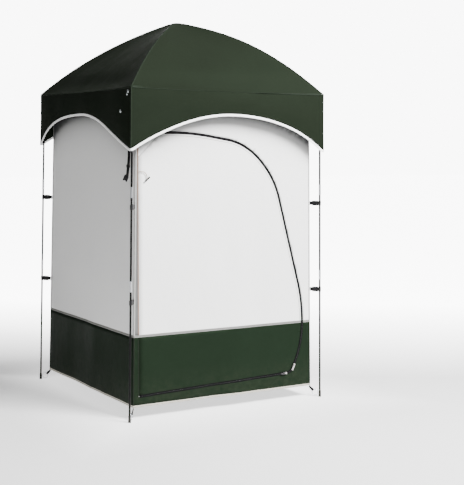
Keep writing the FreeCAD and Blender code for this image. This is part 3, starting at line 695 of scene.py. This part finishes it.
def roof_point(side, s, half, lift=0.0):
    """A point of the roof: half is its distance from the centre plane, s runs across at that distance."""
    z = roof_height(half)
    across = 1.0 - s * s
    rise = half / CANOPY_HALF
    z -= PANEL_SAG * across * math.sin(math.pi * min(1.0, rise)) ** 0.8
    z -= EAVE_HOLLOW * across * math.exp(-((CANOPY_HALF - half - 0.055) / 0.045) ** 2)
    z -= EAVE_SAG * across * smooth_step((rise - 0.8) / 0.2)
    spot = TURNS[side] @ Vector((s * half, -half, z))
    ripple = noise.noise(spot * 2.7 + Vector((5.0, 0.0, 0.0))) * 0.010 + noise.noise(spot * 8.0) * 0.0025
    z += ripple * min(1.0, 2.2 * across) * smooth_step((1.0 - rise) * 12.0)
    bowed = {"front": 0.5 + 0.5 * s, "right": 0.5 - 0.5 * s}.get(side, 0.0)
    z += FRONT_RIGHT_BOW * bowed ** 1.6 * math.sin(math.pi * rise) ** 1.2
    place = TURNS[side] @ Vector((s * (half + 0.4 * lift), -(half + 0.4 * lift), z + lift))
    place.z += CROWN_LIFT * (1.0 - rise) ** 1.5
    return place + CROWN_LEAN * (1.0 - rise) ** 1.6


def make_canopy():
    """The whole canopy as one sheet: four roof panels and their valances, sewn at hips, eaves and corners."""
    bm = new_cloth()
    valance_rows, roof_rows, columns = 14, 44, 64
    rows = valance_rows + roof_rows
    eave = valance_rows / rows
    for side in SIDES:
        def place(u, v, side=side):
            s = 2.0 * u - 1.0
            if v <= eave + 1e-6:
                return valance_point(side, s, min(1.0, v / eave))
            return roof_point(side, s, CANOPY_HALF * (1.0 - (v - eave) / (1.0 - eave)))
        cloth_grid(bm, columns, rows, place, (2 * CANOPY_HALF, 1.1))
    weld(bm, 0.0002)
    bmesh.ops.dissolve_degenerate(bm, dist=0.0001, edges=bm.edges[:])
    face_out(bm)
    for edge in bm.edges:
        if len(edge.link_faces) == 2 and edge.calc_face_angle() > math.radians(24):
            edge.smooth = False
    nodes = [f"{kind}_{side}" for kind in ("roof", "valance") for side in SIDES]
    canopy = add_piece("canopy", bm, GREEN_CLOTH, "tent", "canopy_fabric", nodes, CLOTH_THICK)


def make_canopy_seams():
    """Felled seams over the four hips, down the valance corners and along the eaves."""
    bm = new_cloth()
    seam_half = 0.0058
    ridge = 0.0011

    def mound(v):
        return 0.0002 + ridge * math.sin(math.pi * v) ** 0.5
    for index, side in enumerate(SIDE_ORDER):
        following = SIDE_ORDER[(index + 1) % 4]

        def hip(u, v):
            half = CANOPY_HALF + (0.028 - CANOPY_HALF) * u
            across = (v - 0.5) * 2.0 * seam_half
            if across < 0.0:
                return roof_point(side, 1.0 + across / half, half, mound(v))
            return roof_point(following, -1.0 + across / half, half, mound(v))

        def corner(u, v):
            across = (v - 0.5) * 2.0 * seam_half
            if across < 0.0:
                return valance_point(side, 1.0 + across / CANOPY_HALF, u, mound(v))
            return valance_point(following, -1.0 + across / CANOPY_HALF, u, mound(v))

        def eave(u, v):
            s = 2.0 * u - 1.0
            if v < 0.4:
                return valance_point(side, s, 1.0 - (0.4 - v) * 0.055, mound(v))
            return roof_point(side, s, CANOPY_HALF - (v - 0.4) * 0.010, mound(v))
        for steps, place, length in ((90, hip, 0.95), (40, corner, 0.30), (90, eave, 2 * CANOPY_HALF)):
            cloth_grid(bm, steps, 4, place, (length, 2 * seam_half))
    face_out(bm)
    add_piece("canopy_seams", bm, GREEN_SEAM, "tent", "canopy_fabric", (), 0.0006)


def make_piping():
    """The white binding folded over the whole lower edge of the valance, tips included."""
    bm = new_cloth()
    steps = 480
    facing = [TURNS[side] @ Vector((0.0, -1.0, 0.0)) for side in SIDE_ORDER]

    def edge_point(t):
        t %= 4.0
        side = SIDE_ORDER[int(t) % 4]
        return valance_point(side, 2.0 * (t - int(t)) - 1.0, 0.0)

    def outward(t):
        t %= 4.0
        index = int(t) % 4
        into = t - int(t)
        near = 0.012
        here = facing[index]
        if into < near:
            here = here.lerp(facing[index - 1], 0.5 * (1.0 - into / near))
        elif into > 1.0 - near:
            here = here.lerp(facing[(index + 1) % 4], 0.5 * (1.0 - (1.0 - into) / near))
        return here.normalized()

    def place(u, v):
        t = 4.0 * u
        out = outward(t)
        along = (edge_point(t + 0.004) - edge_point(t - 0.004)).normalized()
        up = along.cross(out).normalized()
        up = up if up.z > 0.0 else -up
        angle = 2.0 * math.pi * v
        wide = math.copysign(abs(math.cos(angle)) ** 0.6, math.cos(angle)) * PIPING_THICK / 2
        tall = math.copysign(abs(math.sin(angle)) ** 0.7, math.sin(angle)) * PIPING_HEIGHT / 2
        return edge_point(t) + out * wide + up * tall
    cloth_grid(bm, steps, 16, place, (5.2, 2.0 * (PIPING_HEIGHT + PIPING_THICK)))
    weld(bm)
    bmesh.ops.recalc_face_normals(bm, faces=bm.faces[:])
    add_piece("valance_piping", bm, WHITE_PIPING, "tent", "white_binding", ("valance_binding",))


def make_studs():
    """Domed press studs with a rolled rim on both side valances."""
    bm = bmesh.new()
    cap = [(0.0, 0.0034), (0.0026, 0.0033), (0.0050, 0.0027), (0.0062, 0.0017), (0.0068, 0.0013),
           (0.0079, 0.0019), (0.0088, 0.0015), (0.0092, 0.0004), (0.0090, -0.0006), (0.0, -0.0006)]
    spots = [(-0.573, 1.712, 1.0), (-0.562, 1.698, 0.8), (-0.496, 1.612, 1.0)]
    for side, sign in (("left", -1), ("right", 1)):
        for y, z, size in spots:
            s = -y / CANOPY_HALF if side == "left" else y / CANOPY_HALF
            low, high = edge_height(side, s), eave_height(s)
            centre = valance_point(side, s, (z - low) / (high - low), 0.0006)
            facing = Vector((sign, 0.0, 0.0)).to_track_quat("Z", "Y").to_matrix().to_4x4()
            turned_part(bm, cap, Matrix.Translation(centre) @ facing @ Matrix.Scale(size, 4))
    add_piece("press_studs", bm, STUD_METAL, "tent", "stud", ("canopy_studs",))


# ---------------------------------------------------------------- wall shape
def wall_half(z):
    return WALL_BOTTOM_HALF - WALL_LEAN * (z - WALL_BOTTOM_Z)


SLIDER_SPOT = Vector((0.43, 0.17))
WALL_SEEDS = {"front": 0.0, "right": 11.0, "back": 23.0, "left": 37.0}


def wall_point(side, x, z, lift=0.0):
    """A point of a wall's cloth, from its place across and up, and how far it stands proud."""
    half = wall_half(z)
    e = max(-1.0, min(1.0, x / half))
    free = (1.0 - e * e) ** 0.8
    seed = Vector((WALL_SEEDS[side], 0.0, 0.0))
    spot = Vector((x * 2.2, 0.0, z * 1.1)) + seed
    soft = noise.noise(spot) * 0.010 + noise.noise(spot * 3.0) * 0.0025
    fold = noise.noise(Vector((x * 7.0, z * 0.9, WALL_SEEDS[side]))) * 0.0035
    hem = 0.004 * smooth_step((0.22 - z) / 0.16) * noise.noise(Vector((x * 5.0, 3.0, WALL_SEEDS[side])))
    near_slider = 1.0
    if side == "front":
        away = (Vector((x, z)) - SLIDER_SPOT).length
        near_slider = 1.0 - math.exp(-(away / 0.13) ** 2)
    out = half - 0.0004 + lift + (soft + fold + hem) * free * near_slider
    return TURNS[side] @ Vector((x, -out, z))


def wall_top(e):
    """The walls end below the roof poles, lower at their corners."""
    return 1.760 - 0.030 * abs(e) ** 16


def outline_points(corners, step):
    """A closed outline through corners given as (x, z, rounding), with points about a step apart."""
    points = []
    count = len(corners)
    for index, (x, z, radius) in enumerate(corners):
        here = Vector((x, z))
        back = (Vector(corners[index - 1][:2]) - here).normalized()
        ahead = (Vector(corners[(index + 1) % count][:2]) - here).normalized()
        if radius == 0.0:
            points.append(here)
            continue
        half_angle = back.angle(ahead) / 2.0
        start = here + back * (radius / math.tan(half_angle))
        centre = here + (back + ahead).normalized() * (radius / math.sin(half_angle))
        first = math.atan2(start.y - centre.y, start.x - centre.x)
        end = here + ahead * (radius / math.tan(half_angle))
        swing = math.atan2(end.y - centre.y, end.x - centre.x) - first
        swing = (swing + math.pi) % (2.0 * math.pi) - math.pi
        pieces = max(3, math.ceil(abs(swing) * radius / step))
        for k in range(pieces + 1):
            angle = first + swing * k / pieces
            points.append(centre + radius * Vector((math.cos(angle), math.sin(angle))))
    return points


def shifted(points, offset):
    """A closed outline moved outwards by an offset."""
    moved = []
    count = len(points)
    for index, here in enumerate(points):
        before, after = points[index - 1], points[(index + 1) % count]
        back, ahead = (here - before).normalized(), (after - here).normalized()
        normal = Vector((back.y + ahead.y, -back.x - ahead.x)).normalized()
        stretch = 1.0 / max(0.5, normal.dot(Vector((ahead.y, -ahead.x))))
        moved.append(here + normal * offset * stretch)
    return moved


DOOR_OUTLINE = outline_points(DOOR_CORNERS, 0.012)


class ZipLine:
    """The zip's path: the door's outline without its sewn edge."""

    def __init__(self, points, step):
        dense = [points[0]]
        for before, after in zip(points, points[1:]):
            pieces = max(1, math.ceil((after - before).length / step))
            dense += [before.lerp(after, k / pieces) for k in range(1, pieces + 1)]
        self.points = [p for i, p in enumerate(dense) if i == 0 or (p - dense[i - 1]).length > 1e-6]
        self.marks = [0.0]
        for before, after in zip(self.points, self.points[1:]):
            self.marks.append(self.marks[-1] + (after - before).length)
        self.length = self.marks[-1]

    def at(self, distance):
        """The point at a distance along the zip, and the direction outwards from the door."""
        distance = max(0.0, min(self.length, distance))
        index = min(len(self.marks) - 2, next(i for i in range(len(self.marks) - 1)
                                              if self.marks[i + 1] >= distance - 1e-9))
        share = (distance - self.marks[index]) / (self.marks[index + 1] - self.marks[index])
        here = self.points[index].lerp(self.points[index + 1], share)
        low, high = max(0, index - 1), min(len(self.points) - 1, index + 2)
        along = (self.points[high] - self.points[low]).normalized()
        return here, Vector((along.y, -along.x))


ZIP = ZipLine(DOOR_OUTLINE, 0.008)
ZIP_BAND = next(mark for mark, spot in zip(ZIP.marks, ZIP.points) if spot.y > TAPE_TOP_Z)
ZIP_END = ZIP.length - 0.205      # the coil stops where the head turns down to the sewn edge


def slice_panel(bm, spot, normal, **clear):
    """Cut a panel along a plane, and clear a side of it if asked."""
    bmesh.ops.bisect_plane(bm, geom=bm.verts[:] + bm.edges[:] + bm.faces[:], plane_co=spot, plane_no=normal,
                           dist=0.00002, **clear)


def flat_panel(name, outlines, cell):
    """A flat filled panel with holes, cut into cells, as a bmesh in the XY plane."""
    curve = bpy.data.curves.new(name, "CURVE")
    curve.dimensions = "2D"
    curve.fill_mode = "BOTH"
    for outline in outlines:
        spline = curve.splines.new("POLY")
        spline.points.add(len(outline) - 1)
        for point, spot in zip(spline.points, outline):
            point.co = (spot.x, spot.y, 0.0, 1.0)
        spline.use_cyclic_u = True
    shape = add_object(name, curve)
    filled = bpy.data.meshes.new_from_object(shape)
    bm = bmesh.new()
    bm.from_mesh(filled)
    bpy.data.objects.remove(shape)
    bpy.data.curves.remove(curve)
    bpy.data.meshes.remove(filled)
    weld(bm)
    low = Vector((min(v.co.x for v in bm.verts), min(v.co.y for v in bm.verts)))
    high = Vector((max(v.co.x for v in bm.verts), max(v.co.y for v in bm.verts)))
    for axis, normal in enumerate((Vector((1.0, 0.0, 0.0)), Vector((0.0, 1.0, 0.0)))):
        cuts = int((high[axis] - low[axis]) / cell)
        for k in range(1, cuts + 1):
            slice_panel(bm, normal * (low[axis] + (high[axis] - low[axis]) * k / (cuts + 1)), normal)
    return bm


def cut_at_band(bm, keep_above):
    """Keep only what lies above or below the band's top edge."""
    slice_panel(bm, (0.0, BAND_TOP_Z, 0.0), (0.0, 1.0, 0.0), clear_inner=keep_above,
                clear_outer=not keep_above)


def hang_on_front(bm):
    """Give a flat panel its cloth map and hang it in the front wall."""
    layer = bm.loops.layers.uv.new("cloth")
    for face in bm.faces:
        for loop in face.loops:
            loop[layer].uv = (loop.vert.co.x, loop.vert.co.y)
    for vert in bm.verts:
        vert.co = wall_point("front", vert.co.x, vert.co.y)
    weld(bm)
    face_out(bm)


def front_outline():
    """The front wall's own outline, corner to corner and hem to top."""
    across = [k / 12.0 for k in range(-12, 13)]
    top = [Vector((e * wall_half(1.74), wall_top(e))) for e in reversed(across)]
    half = wall_half(WALL_BOTTOM_Z)
    return [Vector((-half, WALL_BOTTOM_Z)), Vector((half, WALL_BOTTOM_Z))] + top


def paint_shade_under_canopy(piece, side):
    """Painted shade: darkens the pale cloth just below the valance's lower edge, where the canopy's shadow
    falls. Marks how much, point by point.
    """
    turned = TURNS[side].inverted()
    layer = piece.data.attributes.new("painted_shade_under_canopy", "FLOAT", "POINT")
    for vert, mark in zip(piece.data.vertices, layer.data):
        spot = turned @ vert.co
        s = max(-1.0, min(1.0, spot.x / CANOPY_HALF))
        below = edge_height(side, s) - spot.z
        # the painted shade fades with distance below the valance's edge
        near = math.exp(-max(0.0, below) / 0.065)
        mark.value = 0.95 * near * smooth_step((0.32 - below) / 0.26)


def make_front():
    """The front wall round its doorway, and the door leaf, each in pale cloth over a green band."""
    slit = 0.0006
    wall_parts = [front_outline(), shifted(DOOR_OUTLINE, slit)]
    door_parts = [shifted(DOOR_OUTLINE, -slit)]
    for part, outlines, pale_height, pale_node, green_node in (
            ("wall_front", wall_parts, 1.33, "wall_front", "band_front"),
            ("door_leaf", door_parts, 1.08, "door_panel", "door_band")):
        body = "tent" if part == "wall_front" else None     # the leaf is given no body; its transform is baked instead
        for kind, cloth, slot, node, tall, under in (
                ("cloth", PALE_CLOTH, "wall_fabric", pale_node, pale_height, "canopy"),
                ("green", BAND_CLOTH, "band_fabric", green_node, 0.375, f"{part}_cloth")):
            bm = flat_panel("outline", outlines, 0.030)
            cut_at_band(bm, kind == "cloth")
            hang_on_front(bm)
            size = sum(face.calc_area() for face in bm.faces)
            piece = add_piece(f"{part}_{kind}", bm, cloth, body, slot, (node,), CLOTH_THICK)
            if kind == "cloth":
                paint_shade_under_canopy(piece, "front")
            if body is None:
                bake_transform(piece)


def make_side_walls():
    """The right, back and left walls: pale cloth over a green band."""
    pale_flat, band_flat = (1.12, 1.325), (1.14, 0.37)
    for side in ("right", "back", "left"):
        light, green = new_cloth(), new_cloth()

        def light_place(u, v, side=side):
            e = 2.0 * u - 1.0
            z = BAND_TOP_Z + (wall_top(e) - BAND_TOP_Z) * v
            return wall_point(side, e * wall_half(z), z)

        def green_place(u, v, side=side):
            z = WALL_BOTTOM_Z + (BAND_TOP_Z - WALL_BOTTOM_Z) * v
            return wall_point(side, (2.0 * u - 1.0) * wall_half(z), z)
        cloth_grid(light, 48, 56, light_place, pale_flat)
        cloth_grid(green, 48, 16, green_place, band_flat)
        face_out(light)
        face_out(green)
        wall = add_piece(f"wall_{side}_cloth", light, PALE_CLOTH, "tent", "wall_fabric", (f"wall_{side}",),
                         CLOTH_THICK)
        band = add_piece(f"wall_{side}_band", green, BAND_CLOTH, "tent", "band_fabric",
                         ("band_sides",) if side == "back" else (), CLOTH_THICK)
        paint_shade_under_canopy(wall, side)


def wall_strip(bm, side, x_low, x_high, z_low, z_high, lift, steps, turn_under=False):
    """A strip of tape along a wall; turned under, it folds round the wall's lower edge."""
    def place(u, v):
        x_share = x_low + (x_high - x_low) * u
        if not turn_under:
            return wall_point(side, x_share, z_low + (z_high - z_low) * v, lift)
        fold = (v - 0.5) * 2.0
        z = z_low + (z_high - z_low) * max(0.0, (abs(fold) - 0.12) / 0.88)
        x = x_share * wall_half(max(z, WALL_BOTTOM_Z)) / wall_half(WALL_BOTTOM_Z)
        return wall_point(side, x, z, math.copysign(min(1.0, abs(fold) / 0.12), -fold) * lift)
    cloth_grid(bm, steps, 8 if turn_under else 3, place, (x_high - x_low, z_high - z_low))


def corner_strip(bm, index, z_low, z_high, width, lift):
    """A narrow binding folded round one upright corner of the walls."""
    side, following = SIDE_ORDER[index], SIDE_ORDER[(index + 1) % 4]

    def place(u, v):
        z = z_low + (z_high - z_low) * u
        half = wall_half(z)
        across = (v - 0.5) * 2.0 * width
        if across < 0.0:
            return wall_point(side, half + lift + across, z, lift)
        return wall_point(following, -half - lift + across, z, lift)
    cloth_grid(bm, 60, 6, place, (z_high - z_low, 2.0 * width))


def make_tapes():
    """Seam tape over the band, hem tape round the bottom, bindings up the corners with their grey partly
    painted shade, and a grey strip of painted shade on the front wall between its left corner and the door's
    sewn edge.
    """
    seam, door_seam, hem, corner, band_corner = (new_cloth() for _ in range(5))
    facing, edge = new_cloth(), new_cloth()
    seam_low, seam_lift, edge_wide = BAND_TOP_Z - 0.001, 0.0010, 0.0060
    half, foot = wall_half(BAND_TOP_Z), wall_half(WALL_BOTTOM_Z)

    # painted shade: a grey strip on the front wall from its left corner to the door's sewn edge
    def shade_strip_place(u, v):
        z = TAPE_TOP_Z + (BINDING_TOP_Z - TAPE_TOP_Z) * u
        side_edge = wall_half(z)
        return wall_point("front", -side_edge + 0.001 + (side_edge + HINGE_X - 0.004) * v, z, 0.0009)

    def edge_place(low, tall):
        """Points of the binding up the sewn edge, from a height up by a length."""
        return lambda u, v: wall_point("front", HINGE_X - 0.0045 + edge_wide * v, low + tall * u, 0.0016)
    cloth_grid(facing, 80, 4, shade_strip_place, (1.28, 0.030))
    cloth_grid(edge, 80, 3, edge_place(TAPE_TOP_Z, BINDING_TOP_Z - TAPE_TOP_Z), (1.28, edge_wide))
    cloth_grid(band_corner, 30, 3, edge_place(0.124, BAND_TOP_Z - 0.128), (0.31, edge_wide))
    for index, side in enumerate(SIDE_ORDER):
        spans = [(-half, half, 60)]
        if side == "front":
            spans = [(-half, HINGE_X - 0.001, 4), (DOOR_RIGHT_X + 0.007, half, 6)]
        for x_low, x_high, steps in spans:
            wall_strip(seam, side, x_low, x_high, seam_low, TAPE_TOP_Z, seam_lift, steps)
        wall_strip(hem, side, -foot, foot, WALL_BOTTOM_Z - 0.002, WALL_BOTTOM_Z + 0.010, 0.0010, 70, True)
        corner_strip(corner, index, TAPE_TOP_Z, BINDING_TOP_Z + 0.001, 0.0075, 0.0011)
        corner_strip(band_corner, index, WALL_BOTTOM_Z + 0.012, BAND_TOP_Z, 0.0065, 0.0009)
    wall_strip(door_seam, "front", HINGE_X + 0.002, DOOR_RIGHT_X - 0.008, seam_low, TAPE_TOP_Z, seam_lift, 60)
    for bm in (seam, door_seam, corner, band_corner, facing, edge):
        face_out(bm)
    bmesh.ops.recalc_face_normals(hem, faces=hem.faces[:])
    add_piece("band_seam_tape", seam, GREY_TAPE, "tent", "seam_tape", ("seam_tape",))
    door_tape = add_piece("door_seam_tape_strip", door_seam, GREY_TAPE, None, "seam_tape",
                          ("door_seam_tape",))
    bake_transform(door_tape)
    add_piece("hem_tape", hem, HEM_TAPE, "tent", "hem_binding", ("wall_binding",))
    # the corner binding's grey is partly painted shade
    add_piece("corner_binding", corner, CORNER_BINDING_AND_SHADE, "tent", "hem_binding")
    # the grey strip beside the door post is painted shade
    add_piece("painted_shade_door_post", facing, CORNER_SHADE_PAINT, "tent", "seam_tape", (), 0.0005)
    add_piece("door_edge_binding", edge, EDGE_TAPE, "tent", "hem_binding", (), 0.0008)
    add_piece("band_corner_seam", band_corner, GREEN_SEAM, "tent", "band_fabric")


# ---------------------------------------------------------------- zip
ZIP_GAP, ZIP_WIDTH = 0.0006, 0.0075


def zip_ribbon(bm, near, far, lift, start, end):
    """A ribbon beside the zip line between two offsets from it; outside the door is positive."""
    def place(u, v):
        here, out = ZIP.at(start + (end - start) * u)
        spot = here + out * (near + (far - near) * v)
        return wall_point("front", spot.x, spot.y, lift * (1.0 - 0.5 * abs(v - 0.5)))
    cloth_grid(bm, int((end - start) / 0.010), 3, place, (end - start, far - near))


def zip_teeth(bm, side_sign):
    """The coil's teeth on one tape, each a small rounded bead that reaches over the slit."""
    pitch = 0.0034
    shift = 0.25 if side_sign > 0 else 0.75
    for k in range(int(ZIP_END / pitch)):
        here, out = ZIP.at((k + shift) * pitch)
        spot = here + out * side_sign * 0.0007
        if spot.x < HINGE_X + 0.004:
            continue
        centre = wall_point("front", spot.x, spot.y, 0.0016)
        made = bmesh.ops.create_icosphere(bm, subdivisions=1, radius=1.0)["verts"]
        lean = math.atan2(out.y, out.x)
        place = (Matrix.Translation(centre) @ Matrix.Rotation(-lean, 4, "Y")
                 @ Matrix.Diagonal((0.0019, 0.0010, 0.0012, 1.0)))
        bmesh.ops.transform(bm, matrix=place, verts=made)


def make_zip():
    """Both tapes with their coils, and a row of topstitching on each side of them."""
    clear = 0.004
    for name, sign, body in (("wall", 1, "tent"), ("door", -1, "door")):
        tape, teeth = new_cloth(), bmesh.new()
        zip_ribbon(tape, sign * ZIP_GAP, sign * ZIP_WIDTH, 0.0012, clear, ZIP_END)
        face_out(tape)
        zip_teeth(teeth, sign)
        add_piece(f"zip_tape_{name}_cloth", tape, ZIP_TAPE, body, "zip_tape", (f"zip_tape_{name}",), 0.0005)
        add_piece(f"zip_coil_{name}", teeth, COIL_PLASTIC, body, "zip_tape")
    for name, near, far, body in (("door", -0.0150, -0.0172, "door"), ("wall", 0.0105, 0.0118, "tent")):
        thread = new_cloth()
        zip_ribbon(thread, near, far, 0.0006, ZIP_BAND, ZIP_END)
        face_out(thread)
        add_piece(f"{name}_topstitch", thread, ZIP_THREAD, body, "zip_tape")


# ---------------------------------------------------------------- door tie
def make_tie():
    """The elastic that holds the rolled door: one short cord from the sewn edge to its toggle."""
    level = -(wall_half(1.280) + 0.0052)
    route = [(-0.534, level, 1.301), (-0.508, level, 1.303), (-0.490, level, 1.290), (-0.486, level, 1.2645)]
    curve = bpy.data.curves.new("tie_elastic", "CURVE")
    curve.dimensions = "3D"
    curve.bevel_depth = 0.0016
    curve.bevel_resolution = 4
    curve.resolution_u = 12
    curve.use_fill_caps = True
    spline = curve.splines.new("NURBS")
    spline.points.add(len(route) - 1)
    for point, spot in zip(spline.points, route):
        point.co = (*spot, 1.0)
    spline.order_u = 3
    spline.use_endpoint_u = True
    curve.materials.append(ELASTIC)
    tie = add_object("tie_elastic", curve)
    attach(tie, "door")
    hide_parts("tie_loop")


# ---------------------------------------------------------------- hanging strap
def make_hanging_strap():
    """A loose tie-down strap inside the front left tip: webbing, a ladder adjuster and a buckle."""
    low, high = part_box("hanging_strap")
    top = Vector(((low.x + high.x) / 2, (low.y + high.y) / 2, high.z))
    wide = Vector((0.62, -0.785, 0.0))
    out = Vector((-0.785, -0.62, 0.0))
    swing = Vector((-0.010, 0.007, 0.0))

    def hang(share, across=0.0, proud=0.0):
        bow = 0.0012 * math.sin(9.0 * share)
        drop = Vector((0.0, 0.0, (low.z + 0.008 - high.z) * share))
        return top + wide * 0.003 + drop + swing * share ** 1.3 + wide * across + out * (proud + bow)
    web = new_cloth()
    cloth_grid(web, 40, 4, lambda u, v: hang(0.93 * u, (v - 0.5) * 0.015), (high.z - low.z, 0.015))
    face_out(web)
    add_piece("hanging_strap_web", web, BLACK_WEBBING, "hanging_strap", "webbing", ("hanging_strap",), 0.0012)
    bm = bmesh.new()
    face_on = Matrix((wide, out, (0.0, 0.0, 1.0))).transposed()
    bar, post = (0.0200, 0.0032, 0.0028), (0.0024, 0.0036, 0.0150)
    for level, across, size in ((0.60, 0.0, bar), (0.66, 0.0, bar),
                                (0.63, -0.0092, post), (0.63, 0.0092, post)):
        rounded_box(bm, hang(level, across), size, 0.0008, face_on)
    tilt = Matrix.Rotation(math.radians(-24.0), 3, out) @ face_on
    sunk = hang(0.97, -0.006)
    shell, prong = (0.0250, 0.0076, 0.0140), (0.0074, 0.0056, 0.0170)
    guide, yoke = (0.0090, 0.0050, 0.0150), (0.0190, 0.0040, 0.0060)
    for across, drop, size in ((0.0, 0.004, shell), (-0.0090, -0.010, prong), (0.0090, -0.010, prong),
                               (0.0, -0.008, guide), (0.0, 0.013, yoke)):
        rounded_box(bm, sunk + tilt @ Vector((across, 0.0, drop)), size, 0.0012, tilt)
    add_piece("hanging_strap_buckle", bm, BUCKLE_PLASTIC, "hanging_strap", "buckle")


# ---------------------------------------------------------------- stage
WORLD_BASE, WORLD_BRIGHT = 0.27, 9.0
FLOOR_PAINTED_GLOW = 1.3                  # painted light: the floor glows under the tent, washing out the tent's shadow there
BRIGHT_WAY = (0.527, 0.850, 0.0)  # the bright side of the world, behind the tent
ASIDE_WAY = (0.850, -0.527, 0.0)
KEY_SPOT, KEY_SIZE, KEY_WATTS = Vector((1.6, -4.1, 5.1)), 2.4, 1750.0


def make_stage():
    """A pale floor that glows under the tent as painted light, a pale world brightest behind the tent, and
    one soft lamp from the front right.
    """
    bm = bmesh.new()
    bmesh.ops.create_grid(bm, x_segments=1, y_segments=1, size=40.0)
    floor = mesh_object("floor", bm)
    finish = Finish("pale_floor", 0.85)
    w = finish.wiring
    finish.shader.inputs["Base Color"].default_value = (0.74, 0.74, 0.74, 1.0)
    finish.shader.inputs["Emission Color"].default_value = (1.0, 1.0, 1.0, 1.0)
    place = finish.coordinates("object")
    along, aside = w.along(place, BRIGHT_WAY), w.math("ABSOLUTE", w.along(place, ASIDE_WAY))
    rising = w.spread(along, 0.35, 3.6)
    reach = w.plus(along, 6.0)
    within = w.spread(w.math("DIVIDE", aside, reach), 0.50, 0.26)
    rising = w.times(w.math("POWER", rising, 1.1), within)
    glow = w.times(rising, WORLD_BRIGHT)
    x, y, _ = w.split(place)
    # painted light: the floor glows under and round the tent, which washes out the tent's shadow
    apart = w.math("MAXIMUM", w.math("ABSOLUTE", x), w.math("ABSOLUTE", y))
    under = w.spread(apart, 1.15, 0.60)
    under = w.times(w.math("POWER", under, 1.5), FLOOR_PAINTED_GLOW)
    glow = w.plus(glow, under)
    w.join(glow, finish.shader.inputs["Emission Strength"])
    floor.data.materials.append(finish.material)

    world = bpy.data.worlds.new("pale_world")
    world.use_nodes = True
    sky = Wiring(world.node_tree)
    ahead = sky.tree.nodes.new("ShaderNodeTexCoord").outputs["Generated"]
    _, _, height = sky.split(ahead)
    wide = sky.spread(sky.along(ahead, BRIGHT_WAY), 0.88, 0.965)
    low = sky.spread(height, 0.34, 0.16)
    bright = sky.spread(sky.times(wide, low), 0.0, 1.0, WORLD_BASE, WORLD_BRIGHT)
    backdrop = world.node_tree.nodes["Background"]
    backdrop.inputs["Color"].default_value = (1.0, 1.0, 1.0, 1.0)
    sky.join(bright, backdrop.inputs["Strength"])
    bpy.context.scene.world = world

    data = bpy.data.lights.new("key", "AREA")
    data.energy = KEY_WATTS
    data.size = KEY_SIZE
    lamp = add_object("key", data)
    lamp.location = KEY_SPOT
    lamp.rotation_euler = (MIDDLE - KEY_SPOT).to_track_quat("-Z", "Y").to_euler()


CAMERA_SPOT = (-3.08732, -5.59659, 1.43447)
CAMERA_TURN = (0.55495, -0.08784, 0.01099)      # yaw, pitch and roll in radians
CAMERA_LENS = 80.58


def make_camera():
    """The camera, at eye height off the front left corner."""
    yaw, pitch, roll = CAMERA_TURN
    ahead = Vector((math.sin(yaw) * math.cos(pitch), math.cos(yaw) * math.cos(pitch), math.sin(pitch)))
    level = Vector((math.cos(yaw), -math.sin(yaw), 0.0))
    upright = level.cross(ahead)
    right = level * math.cos(roll) + upright * math.sin(roll)
    up = upright * math.cos(roll) - level * math.sin(roll)
    turn = Matrix((right, up, -ahead)).transposed()
    data = bpy.data.cameras.new("camera")
    data.lens = CAMERA_LENS
    data.sensor_width = 36.0
    camera = add_object("camera", data)
    camera.matrix_world = Matrix.Translation(CAMERA_SPOT) @ turn.to_4x4()
    bpy.context.scene.camera = camera


make_camera()
make_tie()
make_stage()
make_canopy()
make_canopy_seams()
make_piping()
make_studs()
make_front()
make_side_walls()
make_tapes()
make_zip()
make_hanging_strap()
